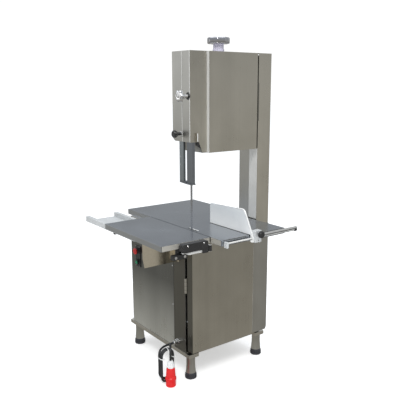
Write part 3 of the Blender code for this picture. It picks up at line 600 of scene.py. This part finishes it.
CORNERS = ("front_left", "rear_left", "front_right", "rear_right")
CAD_LOOKS = {
    "front": ["upper_door", "column_cover"],
    "door": ["cabinet_door"],
    "bright": ["grip_bar"],
    "rod": ["gauge_rod_lower"],
    "bar": ["gauge_rod_upper"],
    "shade": ["upper_hinge_sleeve", "upper_hinge_pin"],
    "panel": ["cabinet_body", "upper_housing", "column_tube"],
    "side": ["left_side_panel"],
    "bracket": ["rail_bracket"],
    "post": ["guide_post"],
    "guard": ["blade_guard", "guide_bracket"],
    "table": ["fixed_table", "sliding_table"],
    "rail": ["rail_frame", "gauge_carrier", "rod_end_bracket"],
    "frame": ["base_frame", "cabinet_hinge_sleeve", "cabinet_hinge_pin"],
    "leg": ["leg_tube_" + corner for corner in CORNERS],
    "rubber": ["rubber_foot_" + corner for corner in CORNERS],
    "cast": ["upper_wheel", "lower_wheel", "wheel_carriage", "motor_mount", "carriage_guide"],
    "polished": ["drive_shaft", "upper_axle", "tension_screw", "cable_gland"],
    "gauge": ["gauge_plate"],
    "black": ["table_grip", "table_slide_block", "guide_clamp_knob", "gauge_lock_knob", "switch_bezel"],
    "stop": ["stop_button"],
    "green": ["start_button"],
    "red": ["plug_body"],
    "white": ["plug_gland", "lower_guide"],
    "lavender": ["tension_collar"],
    "paint": ["motor"],
}
ROUND_NODES = (
    "leg_tube", "rubber_foot", "cabinet_hinge", "upper_hinge", "door_lock", "tension_", "guide_clamp",
    "gauge_lock", "gauge_rod", "drive_shaft", "upper_axle", "cable_gland", "plug_", "start_", "stop_",
)
EDGE_ROUNDING = 0.0008


def soften_edges(node):
    """Round a sheet-metal node's edges; its own normals and doubled corners would spoil the bevel."""
    custom = node.data.attributes.get("custom_normal")
    if custom is not None:
        node.data.attributes.remove(custom)
    node.data.shade_smooth()
    weld = node.modifiers.new("Weld", "WELD")
    weld.merge_threshold = 0.00001
    add_bevel(node, EDGE_ROUNDING)


def dress_nodes():
    """Give every CAD node its finish, and soften the edges of all but the turned ones."""
    for look, names in CAD_LOOKS.items():
        for name in names:
            node = NODES[name]
            node.data.materials.clear()
            node.data.materials.append(LOOKS[look])
            if not name.startswith(ROUND_NODES):
                soften_edges(node)


# ---- the lead


CORD_RADIUS = 0.006
GLAND_Y = 0.143
GLAND_Z = 0.190
GLAND_REACH = 0.070
GLAND_DROP = 0.042
GLAND_STEPS = 14
RUN_LEFT = -0.1445
RUN_RIGHT = -0.0715
RUN_LAYERS = (0.0865, 0.0993, 0.1121)
FOLD_RADIUS = (RUN_RIGHT - RUN_LEFT) / 2.0
FOLD_MIDDLE = (RUN_RIGHT + RUN_LEFT) / 2.0
FOLD_LOW = 0.0005 + CORD_RADIUS + FOLD_RADIUS
FOLD_HIGH = 0.2005 - CORD_RADIUS - FOLD_RADIUS
FOLD_STEPS = 12
CROSSING_LIFT = 0.0145
REAR_HIGH = 0.150
ARCH_HEIGHT = 0.179
ARCH_STEPS = 16
PLUG_X = -0.112
PLUG_Y = 0.050
PLUG_TOP = 0.148
TIE_SLACK = 0.0004
TIE_THICK = 0.0012
TIE_HALF_WIDTH = 0.0024
TIE_STEPS = 12


def bezier(start, leave, arrive, finish, steps):
    """Points on a cubic curve from start to finish."""
    points = []
    for step in range(steps + 1):
        t = step / steps
        u = 1 - t
        points.append(start * u ** 3 + leave * 3 * t * u ** 2 + arrive * 3 * t * t * u + finish * t ** 3)
    return points


def fold(height, sign, from_layer, to_layer):
    """Half a turn at the foot (sign -1) or the top (sign +1) of the hank, from one layer to another."""
    points = []
    for step in range(FOLD_STEPS + 1):
        t = step / FOLD_STEPS
        ease = t * t * (3 - 2 * t)
        points.append(Vector((
            FOLD_MIDDLE + sign * FOLD_RADIUS * math.cos(math.pi * t),
            from_layer + (to_layer - from_layer) * ease,
            height + sign * FOLD_RADIUS * math.sin(math.pi * t),
        )))
    return points


def gland_route():
    """The stretch from the gland to the hank, as in the CAD: straight out, then bent down."""
    straight = CORD_RADIUS
    tip = Vector((low("cable_gland").x - 0.0003, GLAND_Y, GLAND_Z))
    finish = Vector((RUN_LEFT, RUN_LAYERS[2], REAR_HIGH))
    out = tip + Vector((-straight, 0.0, 0.0))
    down = finish + Vector((0.0, 0.0, straight))
    bend = bezier(out, out + Vector((-GLAND_REACH, 0.0, 0.0)), down + Vector((0.0, 0.0, GLAND_DROP)), down,
                  GLAND_STEPS)
    return [tip, *bend, finish]


def plug_route():
    """The stretch from the hank over its folds and down into the plug, as in the CAD."""
    rise = Vector((RUN_RIGHT, RUN_LAYERS[2], 0.0))
    fall = Vector((PLUG_X, PLUG_Y, 0.0))
    middle = (rise + fall) / 2.0
    half = (rise - fall) / 2.0
    points = [Vector((*rise.xy, REAR_HIGH))]
    for step in range(ARCH_STEPS + 1):
        angle = math.pi * step / ARCH_STEPS
        lift = Vector((0.0, 0.0, ARCH_HEIGHT + half.length * math.sin(angle)))
        points.append(middle + half * math.cos(angle) + lift)
    points.append(Vector((*fall.xy, PLUG_TOP)))
    return points


def cord_line():
    """The whole centreline: gland, three runs down each side of the hank, and the arch to the plug."""
    front, middle, rear = RUN_LAYERS
    line = gland_route()
    line += fold(FOLD_LOW + CROSSING_LIFT, -1, rear, middle)
    line += fold(FOLD_HIGH, 1, middle, middle)
    line += fold(FOLD_LOW + CROSSING_LIFT, -1, middle, front)
    line += fold(FOLD_HIGH, 1, front, front)
    line += fold(FOLD_LOW, -1, front, rear)
    line += plug_route()
    return line


def make_lead():
    curve = bpy.data.curves.new("mains_lead", "CURVE")
    curve.dimensions = "3D"
    curve.bevel_depth = CORD_RADIUS
    curve.bevel_resolution = 4
    curve.use_fill_caps = True
    line = cord_line()
    spline = curve.splines.new("POLY")
    spline.points.add(len(line) - 1)
    for slot, point in zip(spline.points, line):
        slot.co = (*(point + DATUM), 1.0)
    curve.materials.append(LOOKS["cord"])
    lead = add_object("mains_lead", curve)
    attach(lead, "machine_frame")
    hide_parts("power_cord", "cord_hank", "plug_lead")
    ties = make_ties()
    pins = make_plug_details()


def make_ties():
    """Cable ties round the runs on each side of the hank and round its top folds."""
    front, middle, rear = RUN_LAYERS
    upright = Matrix.Identity(4)
    level = Matrix.Rotation(math.radians(90.0), 4, "Y")
    top = FOLD_HIGH + FOLD_RADIUS
    return [
        tie_band("cord_tie_left", Vector((RUN_LEFT, 0.0, 0.150)), upright, front, rear),
        tie_band("cord_tie_right", Vector((RUN_RIGHT, 0.0, 0.146)), upright, front, rear),
        tie_band("cord_tie_top", Vector((FOLD_MIDDLE, 0.0, top)), level, front, middle),
    ]


def tie_band(name, centre, turn, front, rear):
    """A flat nylon band round runs lying side by side, with its locking head and cut tail."""
    work = bmesh.new()
    reach = CORD_RADIUS + TIE_SLACK
    half_turn = [math.pi * step / TIE_STEPS for step in range(TIE_STEPS + 1)]
    outline = [(math.cos(angle), rear, math.sin(angle)) for angle in half_turn]
    outline += [(-math.cos(angle), front, -math.sin(angle)) for angle in half_turn]
    inner = [(reach * a, y + reach * b) for a, y, b in outline]
    outer = [((reach + TIE_THICK) * a, y + (reach + TIE_THICK) * b) for a, y, b in outline]
    sides = ((outer, -1), (outer, 1), (inner, 1), (inner, -1))
    loops = [[work.verts.new((a, b, side * TIE_HALF_WIDTH)) for a, b in ring] for ring, side in sides]
    for index, loop in enumerate(loops):
        bridge(work, loops[(index + 1) % len(loops)], loop)
    face = front - reach - TIE_THICK
    add_box(work, (-0.0035, 0.0035), (face - 0.0042, face - 0.0002), (-0.0035, 0.0035))
    add_box(work, (0.0030, 0.0150), (face - 0.0026, face - 0.0014), (-0.0020, 0.0020))
    work.transform(Matrix.Translation(centre) @ turn)
    return piece(name, work, "white", MACHINE, 0.0003)


def make_plug_details():
    """Grip ribs, the coupling rings and the sleeve's key of the five-pin plug, and the ribs of its gland."""
    middle = (PLUG_X, PLUG_Y)
    sleeve = 0.0292
    ribs = bmesh.new()
    add_ribs(ribs, 14, "Z", middle, ((0.058, 0.0252), (0.098, 0.0226)), 0.0011)
    for height in (0.041, 0.049):
        ring = circle(Vector((*middle, height)), Vector(RIGHT), Vector(REAR), sleeve, 40)
        add_tube(ribs, ring, 0.0011, 8, closed=True)
    add_box(ribs, (PLUG_X - 0.0040, PLUG_X + 0.0040), (PLUG_Y - 0.0295, PLUG_Y - 0.0262), (0.004, 0.034))
    nut = bmesh.new()
    add_ribs(nut, 12, "Z", middle, ((0.111, 0.0180), (0.131, 0.0168)), 0.0010)
    return [
        piece("plug_ribs", ribs, "red", MACHINE),
        piece("plug_gland_ribs", nut, "white", MACHINE),
    ]


# ---- blade, wheels and motor


WHEEL_X = 0.2455
WHEEL_HEIGHTS = {"lower_wheel": 0.500, "upper_wheel": 1.500}
BAND_INNER = 0.2155
BAND_OUTER = 0.2163
BAND_Y = (0.035, 0.053)
TOOTH_PITCH = 0.006
TOOTH_DEPTH = 0.0022
HUB_FACE = 0.036
HUB_BOLT_CIRCLE = 0.0250
RIM_FACE = 0.0400
RIM_BEADS = (0.192, 0.2125)
MOTOR_FINS = 26
FIN_CIRCLE = 0.0862
FIN_ENDS = (0.122, 0.326)
FIN_TOP = 0.80
COWL_FACE = 0.3845
COWL_RINGS = (0.020, 0.034, 0.048, 0.062)
FLANGE_FACE = 0.1160
FLANGE_BOLT_CIRCLE = 0.0925
MOUNT_FACE = 0.1000


def band_path(spacing):
    """Places along the band: x and z at a radius of one, and the height they are measured from."""
    top, bottom = WHEEL_HEIGHTS["upper_wheel"], WHEEL_HEIGHTS["lower_wheel"]
    straight = top - bottom
    radius = (BAND_INNER + BAND_OUTER) / 2.0
    arc = math.pi * radius
    length = 2.0 * (straight + arc)
    count = round(length / spacing)
    for index in range(count):
        at = length * index / count
        if at < straight:
            yield (-1.0, 0.0, bottom + at)
        elif at < straight + arc:
            angle = math.pi - (at - straight) / radius
            yield (math.cos(angle), math.sin(angle), top)
        elif at < 2.0 * straight + arc:
            yield (1.0, 0.0, top - (at - straight - arc))
        else:
            angle = -(at - 2.0 * straight - arc) / radius
            yield (math.cos(angle), math.sin(angle), bottom)


def make_blade():
    """The band with its teeth along the front edge."""
    work = bmesh.new()
    front, back = BAND_Y
    rings = []
    for index, (out_x, out_z, middle) in enumerate(band_path(TOOTH_PITCH / 2.0)):
        edge = front if index % 2 else front + TOOTH_DEPTH
        corners = ((BAND_INNER, edge), (BAND_OUTER, edge), (BAND_OUTER, back), (BAND_INNER, back))
        rings.append([
            work.verts.new((WHEEL_X + out_x * radius, y, middle + out_z * radius)) for radius, y in corners
        ])
    for index, ring in enumerate(rings):
        bridge(work, ring, rings[(index + 1) % len(rings)])
    blade = piece("toothed_blade", work, "blade", MACHINE, angle=20.0)
    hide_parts("saw_blade")


def make_wheel_details():
    """Hub bolts, a bearing ring and two turned beads on the face of each wheel."""
    for body, height in WHEEL_HEIGHTS.items():
        hub = Vector((WHEEL_X, HUB_FACE, height))
        work = bmesh.new()
        for across, up in around(5):
            add_bolt(work, hub + HUB_BOLT_CIRCLE * Vector((across, 0.0, up)), FRONT, 0.0040)
        bearing = [(0.0140, 0.0), (0.0175, 0.0), (0.0175, 0.0020), (0.0140, 0.0020)]
        add_turned(work, bearing, hub, FRONT, 28)
        for radius in RIM_BEADS:
            add_ring(work, (WHEEL_X, RIM_FACE, height), REAR, radius, 0.0008, 72)
        piece(body + "_hub", work, "polished", body, 0.0003)


def make_motor_details():
    """Cooling fins, clear of the motor's top, the rings of its fan cowl, and the mounting bolts."""
    shaft = Vector((WHEEL_X, 0.0, WHEEL_HEIGHTS["lower_wheel"]))
    fins = bmesh.new()
    for across, up in around(MOTOR_FINS, 0.1):
        if up <= FIN_TOP:
            root = shaft + FIN_CIRCLE * Vector((across, 0.0, up))
            add_tube(fins, [root + Vector((0.0, y, 0.0)) for y in FIN_ENDS], 0.0022, 8)
    for radius in COWL_RINGS:
        add_ring(fins, shaft + Vector((0.0, COWL_FACE, 0.0)), REAR, radius, 0.0014)
    piece("motor_fins", fins, "paint", MACHINE)
    bolts = bmesh.new()
    for across, up in around(4, math.pi / 4):
        place = shaft + FLANGE_BOLT_CIRCLE * Vector((across, 0.0, up)) + Vector((0.0, FLANGE_FACE, 0.0))
        add_bolt(bolts, place, REAR, 0.0045)
    add_fixings(bolts, add_bolt, 0.0070, FRONT, (0.040, 0.500), (MOUNT_FACE,), (0.310, 0.690))
    piece("motor_bolts", bolts, "polished", MACHINE, 0.0003)


# ---- knobs


SCREW_Y = 0.098
HOUSING_FACE = 0.0097
LOCK_PLACE = (0.041, 1.535)
CLAMP_PLACE = (0.112, 1.345)
CLAMP_GRIP = 0.0177
GAUGE_GRIP = 0.0169
GRIP_RIBS = 20
LOBE_STEPS = 96


def add_lobed(work, centre, direction, radius, lobes, depth, levels):
    """A lobed grip lofted through levels of (scale, share of the lobes' depth, distance)."""
    along, first, second = axis_frame(direction)
    rings = []
    for scale, share, distance in levels:
        middle = Vector(centre) + along * distance
        ring = []
        for step in range(LOBE_STEPS):
            angle = 2 * math.pi * step / LOBE_STEPS
            reach = radius * scale - depth * share * (0.5 - 0.5 * math.cos(lobes * angle))
            ring.append(work.verts.new(
                middle + first * reach * math.cos(angle) + second * reach * math.sin(angle)
            ))
        rings.append(ring)
    for lower, upper in zip(rings, rings[1:]):
        bridge(work, lower, upper)
    work.faces.new(list(reversed(rings[0])))
    work.faces.new(rings[-1])


def make_tension_knob():
    """The eight-lobed knob on top, its hexagon nut, and the turned rings of the collar under it."""
    foot = Vector((WHEEL_X, SCREW_Y, low("tension_knob").z))
    work = bmesh.new()
    add_lobed(work, foot, UP, 0.0585, 8, 0.0050, [
        (0.50, 0.0, 0.0), (0.88, 1.0, 0.0), (0.96, 1.0, 0.0012), (1.0, 1.0, 0.0050),
        (1.0, 1.0, 0.0265), (0.96, 1.0, 0.0312), (0.88, 1.0, 0.0328), (0.48, 0.2, 0.0328),
        (0.44, 0.0, 0.0300), (0.28, 0.0, 0.0300),
    ])
    nut = [(0, 0.0300), (0.0105, 0.0300), (0.0105, 0.0318), (0.0090, 0.0327), (0, 0.0327)]
    add_turned(work, nut, foot, UP, 6)
    knob = piece("tension_knob_look", work, "dark_chrome", "tension_knob", angle=50.0)
    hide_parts("tension_knob")
    rings = bmesh.new()
    base = low("tension_collar").z
    for height, radius in ((base + 0.003, 0.0302), (base + 0.010, 0.0302), (foot.z - 0.008, 0.0278)):
        add_ring(rings, (WHEEL_X, SCREW_Y, height), UP, radius, 0.0007)
    piece("tension_collar_rings", rings, "lavender", MACHINE)


def make_lock_knob():
    """The six-lobed knob of the upper door's lock, on its stem, with a washer on the housing."""
    foot = Vector((HOUSING_FACE, *LOCK_PLACE))
    work = bmesh.new()
    add_lobed(work, foot, LEFT, 0.0300, 6, 0.0066, [
        (0.45, 0.0, 0.0400), (0.85, 1.0, 0.0400), (0.96, 1.0, 0.0415), (1.0, 1.0, 0.0450),
        (1.0, 1.0, 0.0545), (0.95, 1.0, 0.0585), (0.84, 1.0, 0.0600), (0.52, 0.1, 0.0600),
        (0.48, 0.0, 0.0580), (0.30, 0.0, 0.0580),
    ])
    stem = [(0, 0.0), (0.0100, 0.0), (0.0100, 0.0060), (0.0116, 0.0260), (0.0135, 0.0402), (0, 0.0402)]
    add_turned(work, stem, foot, LEFT, 28)
    cap = [(0, 0.0575), (0.0085, 0.0575), (0.0080, 0.0600), (0.0040, 0.0612), (0, 0.0614)]
    add_turned(work, cap, foot, LEFT, 20)
    knob = piece("door_lock_knob_look", work, "chrome", "door_lock_knob", angle=50.0)
    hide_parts("door_lock_knob")
    washer = [(0.0106, 0.0), (0.0185, 0.0), (0.0180, 0.0014), (0.0106, 0.0014)]
    turned_piece("door_lock_washer", washer, foot, LEFT, 32, "black")


def make_small_knobs():
    """Grip ribs on the black knobs of the blade guide and the gauge, and their metal rings."""
    clamp = bmesh.new()
    add_ribs(clamp, GRIP_RIBS, "X", CLAMP_PLACE, ((-0.0325, CLAMP_GRIP), (-0.0205, CLAMP_GRIP)), 0.0011)
    piece("guide_clamp_ribs", clamp, "black", "guide_clamp_knob")
    washer = [(0.0075, 0.0), (0.0135, 0.0), (0.0130, 0.0012), (0.0075, 0.0012)]
    place = (HOUSING_FACE, *CLAMP_PLACE)
    turned_piece("guide_clamp_washer", washer, place, LEFT, 28, "chrome")
    centre = (low("gauge_lock_knob") + high("gauge_lock_knob")) / 2.0
    lock = bmesh.new()
    ends = ((-0.2865, GAUGE_GRIP), (-0.2750, GAUGE_GRIP))
    add_ribs(lock, GRIP_RIBS, "Y", (centre.x, centre.z), ends, 0.0010)
    piece("gauge_lock_ribs", lock, "black", "gauge_lock_knob")
    ring = bmesh.new()
    add_ring(ring, (centre.x, -0.2722, centre.z), REAR, 0.0148, 0.0014)
    piece("gauge_lock_ring", ring, "chrome", "gauge_lock_knob")


# ---- sheet metal


HOUSING_LOW = 1.3080
HOUSING_HIGH = high("upper_housing").z - 0.002
HOUSING_SKIN = (0.0086, 0.0098)
HOUSING_REAR = 0.1803
COLUMN_REAR = 0.1630
COLUMN_SIDE = 0.542
SIDE_PANEL_FACE = -0.0023
CABINET_REAR = 0.6373
CABINET_SIDE = 0.540
COVER_SHEET = 0.0013
DOOR_HEIGHTS = (0.1720, 0.7880)
HINGE_AXIS = (-0.001, 0.058)
LOUVRES = 9
LOUVRE_LOW = 0.300
LOUVRE_PITCH = 0.022
GUSSET = 0.045
BASE_TOP = 0.1268
LEG_TOP = 0.1258


def add_strip(name, x, y, z, look, body, bevel=0.0004):
    """A piece of one thin box."""
    work = bmesh.new()
    add_box(work, x, y, z)
    piece(name, work, look, body, bevel)


def make_housing_details():
    """Seams, bends and edges of the housing, door and column painted bright as highlights, a flange, the rear
    cover and the screws behind.
    """
    corner = (HOUSING_LOW, HOUSING_HIGH)
    add_strip("housing_left_seam", (0.0088, 0.0098), (0.0915, 0.0945), corner, "bright", MACHINE)
    add_strip("housing_front_bend", HOUSING_SKIN, (0.0246, 0.0282), corner, "bright", MACHINE)
    add_strip("door_raised_edge", (0.1106, 0.1117), (0.0006, 0.0214), (1.2520, HOUSING_HIGH), "bright",
              "upper_door")
    add_strip("column_cover_side", (0.4500, 0.4508), (0.0120, 0.0770), (0.8530, 1.2480), "bright", MACHINE)
    add_strip("housing_column_flange", (0.4478, 0.4498), (0.1450, 0.1775), (1.2530, HOUSING_HIGH - 0.001),
              "panel", MACHINE)
    cover_face = HOUSING_REAR + 0.0012
    add_strip("housing_rear_cover", (0.050, 0.410), (HOUSING_REAR, cover_face), (1.340, 1.715), "panel",
              MACHINE, bevel=0.0006)
    fixings_piece(
        "rear_screws", MACHINE,
        (add_screw, 0.0050, REAR, (0.070, 0.230, 0.390), (cover_face,), (1.355, 1.700)),
        (add_screw, 0.0045, REAR, (0.470, 0.523), (COLUMN_REAR,), (0.90, 1.30, 1.70)),
        (add_screw, 0.0024, RIGHT, (COLUMN_SIDE,), (0.045,), (0.900, 1.100, 1.300, 1.500, 1.700)),
    )


def make_flanges():
    """Folded flanges, bends and the edge pull that catch the light or fall in shade."""
    add_strip("door_pull_face", (0.0424, 0.0472), (0.0082, 0.0092), (1.3100, 1.3510), "bright", "upper_door")
    add_strip("cabinet_corner_skin", (-0.0011, -0.0003), (0.0700, 0.1745), (0.1500, 0.8180), "shade", MACHINE)
    add_strip("door_left_flange", (-0.0010, -0.0002), (0.0020, 0.0460), DOOR_HEIGHTS, "shade", "cabinet_door")
    add_strip("sliding_front_lip", (-0.2720, 0.0090), (-0.1383, -0.1373), (0.8235, 0.8495), "lit",
              "sliding_table")
    add_strip("fixed_left_lip", (0.0120, 0.0132), (-0.2220, -0.1400), (0.8230, 0.8495), "lit", MACHINE)
    add_strip("door_right_edge", (0.4243, 0.4256), (-0.0005, 0.0004), DOOR_HEIGHTS, "lit", "cabinet_door",
              bevel=0.0002)
    # A black wedge of painted shade where the housing's notch falls in shadow.
    notch_shade = bmesh.new()
    outline = [(0.0465, 1.3048), (0.0610, 1.3048), (0.0830, 1.2828), (0.0830, 1.2690), (0.0465, 1.2900)]
    add_prism(notch_shade, outline, "Y", 0.0220, 0.0300)
    piece("housing_notch_painted_shade", notch_shade, "black", MACHINE, 0.0005)


def make_cabinet_details():
    """Side screws, the rear access panel and louvres, hinge rings, corner plates and the gland's nut."""
    fixings_piece(
        "side_panel_screws", MACHINE,
        (add_screw, 0.0042, LEFT, (SIDE_PANEL_FACE,), (0.183, 0.627), (0.170, 0.398, 0.623, 0.795)),
    )

    panel_face = CABINET_REAR + COVER_SHEET
    add_strip("rear_access_panel", (0.055, 0.485), (CABINET_REAR, panel_face), (0.195, 0.775), "panel",
              MACHINE, bevel=0.0006)
    louvres = bmesh.new()
    root = panel_face + 0.0002
    for index in range(LOUVRES):
        z = LOUVRE_LOW + LOUVRE_PITCH * index
        outline = [(root, z), (0.6450, z + 0.001), (0.6460, z + 0.003), (root, z + 0.013)]
        add_prism(louvres, outline, "X", 0.160, 0.380)
    piece("rear_louvres", louvres, "panel", MACHINE, 0.0006)
    fixings_piece(
        "rear_panel_screws", MACHINE,
        (add_screw, 0.0042, REAR, (0.070, 0.270, 0.470), (panel_face,), (0.210, 0.760)),
        (add_screw, 0.0042, RIGHT, (CABINET_SIDE,), (0.110, 0.350, 0.590), (0.190, 0.790)),
    )

    knuckles = bmesh.new()
    for z in (0.520, 0.5425, 0.565):
        add_ring(knuckles, (*HINGE_AXIS, z), UP, 0.0090, 0.0005, 28)
    piece("cabinet_hinge_rings", knuckles, "black", "cabinet_door")

    corners = bmesh.new()
    for (x, inward), (y, back) in product(((0.003, 1.0), (0.537, -1.0)), ((0.071, 1.0), (0.659, -1.0))):
        outline = [(x, y), (x + GUSSET * inward, y), (x, y + GUSSET * back)]
        add_prism(corners, outline, "Z", BASE_TOP - 0.0033, BASE_TOP)
    piece("base_corner_plates", corners, "frame", MACHINE, 0.0004)

    nut = [(0, 0.0), (0.0165, 0.0), (0.0165, 0.0050), (0.0150, 0.0062), (0, 0.0062)]
    place = (SIDE_PANEL_FACE - 0.0003, GLAND_Y, GLAND_Z)
    turned_piece("cable_gland_nut", nut, place, LEFT, 6, "polished", 0.0004)


def make_leg_details():
    """Weld beads where the legs meet the base, and moulded rings round the feet."""
    welds = bmesh.new()
    rings = bmesh.new()
    for corner in CORNERS:
        tube, foot = "leg_tube_" + corner, "rubber_foot_" + corner
        middle = (low(tube) + high(tube)) / 2.0
        add_ring(welds, (middle.x, middle.y, LEG_TOP), UP, 0.0252, 0.0012)
        reach = (high(foot).x - low(foot).x) / 2.0 - 0.0003
        for z in (0.0090, 0.0160, 0.0230):
            add_ring(rings, (middle.x, middle.y, z), UP, reach, 0.0009)
    piece("leg_weld_beads", welds, "leg", MACHINE)
    piece("foot_rings", rings, "rubber", MACHINE)


# ---- guides, tables and gauge


ROLLER_PLACE = (-0.0170, -0.1700, 0.0)
STOP_PLACE = (-0.2050, 0.4500, 0.0)
GAUGE_X = 0.199
ROD_LINE = (0.0, -0.2400, 0.8350)


def make_guide_details():
    """Screws of the blade guide and the two brass blocks between which the blade runs."""
    fixings_piece(
        "guide_screws", "blade_guide",
        (add_screw, 0.0032, LEFT, (0.0150,), (0.1195,), (1.1858, 1.2254)),
        (add_screw, 0.0038, DOWN, (0.0335,), (0.040, 0.115), (1.0880,)),
    )
    blocks = bmesh.new()
    for x in ((0.0234, 0.0288), (0.0304, 0.0366)):
        add_box(blocks, x, (0.0370, 0.0560), (1.1040, 1.1260))
    piece("guide_blocks", blocks, "copper", "blade_guide", 0.0005)


def make_table_details():
    """The slot insert, the side roller, the grip's fixings, the rail's stop and its bracket's screws."""
    add_strip("table_slot_insert", (0.0350, 0.0425), (-0.0020, 0.0760), (0.8512, 0.8520), "white", MACHINE,
              0.0003)
    roller = bmesh.new()
    add_turned(roller, [(0, 0.7960), (0.0120, 0.7960), (0.0120, 0.8225), (0, 0.8225)], ROLLER_PLACE, UP, 28)
    add_box(roller, (-0.0362, -0.0215), (-0.1765, -0.1635), (0.8010, 0.8170))
    piece("side_roller", roller, "black", "sliding_table", 0.0005)
    ends = bmesh.new()
    for bottom, top in ((0.7925, 0.7958), (0.8227, 0.8262)):
        disc = [(0, bottom), (0.0118, bottom), (0.0134, bottom + 0.0008), (0.0134, top - 0.0008),
                (0.0118, top), (0, top)]
        add_turned(ends, disc, ROLLER_PLACE, UP, 28)
    piece("side_roller_ends", ends, "chrome", "sliding_table")

    fixings_piece(
        "grip_fixings", "sliding_table",
        (add_bolt, 0.0048, FRONT, (-0.2020, -0.1500), (-0.1500,), (0.7840,)),
        (add_screw, 0.0042, FRONT, (-0.1560, -0.0620), (-0.1860,), (0.8430,)),
    )

    stop = [(0, 0.7770), (0.0085, 0.7770), (0.0100, 0.7790), (0.0100, 0.7930), (0.0085, 0.7950),
            (0.0040, 0.7950), (0.0040, 0.8178), (0, 0.8178)]
    turned_piece("rail_stop", stop, STOP_PLACE, UP, 24, "black")

    fixings_piece(
        "bracket_screws", MACHINE,
        (add_screw, 0.0042, FRONT, (-0.150, -0.060), (0.1630,), (0.8050,)),
        (add_screw, 0.0042, LEFT, (-0.0035,), (0.1430,), (0.690, 0.780)),
    )


def make_gauge_details():
    """The gauge's black glide, the white bead along its front edge, painted near-white as a highlight, its
    rod's end cap and its screws.
    """
    add_strip("gauge_glide", (0.1930, 0.2050), (-0.2210, 0.1020), (0.8513, 0.8523), "black", "gauge",
              0.0003)
    trim = bmesh.new()
    corner = bezier(
        Vector((GAUGE_X, -0.155, 0.9722)), Vector((GAUGE_X, -0.174, 0.9728)),
        Vector((GAUGE_X, -0.180, 0.9690)), Vector((GAUGE_X, -0.189, 0.9515)), 8,
    )
    top = Vector((GAUGE_X, -0.120, 0.9710))
    foot = [Vector((GAUGE_X, -0.2480, 0.8385)), Vector((GAUGE_X, -0.2478, 0.8200))]
    add_tube(trim, [top, *corner, *foot], 0.0043, 12)
    piece("gauge_edge_trim", trim, "white_edge", "gauge")
    cap = [(0, 0.4975), (0.0080, 0.4975), (0.0086, 0.4990), (0.0086, 0.5110), (0.0070, 0.5130),
           (0, 0.5130)]
    turned_piece("rod_end_cap", cap, ROD_LINE, RIGHT, 24, "black")
    fixings_piece(
        "gauge_carrier_screws", "gauge",
        (add_screw, 0.0036, UP, (0.2110, 0.2360), (-0.2445,), (0.8760,)),
        (add_screw, 0.0036, FRONT, (0.2240,), (-0.2600,), (0.8260,)),
    )


def make_switch_details():
    group = (add_screw, 0.0026, LEFT, (-0.0066,), (0.5305, 0.5735), (0.5285, 0.6495))
    fixings_piece("switch_screws", MACHINE, group, look="polished")


LOOKS = make_materials()
make_camera()
make_world()
make_floor()
make_lights()
make_lead()
make_blade()
make_wheel_details()
make_motor_details()
make_tension_knob()
make_lock_knob()
make_small_knobs()
make_housing_details()
make_flanges()
make_cabinet_details()
make_leg_details()
make_guide_details()
make_table_details()
make_gauge_details()
make_switch_details()
dress_nodes()
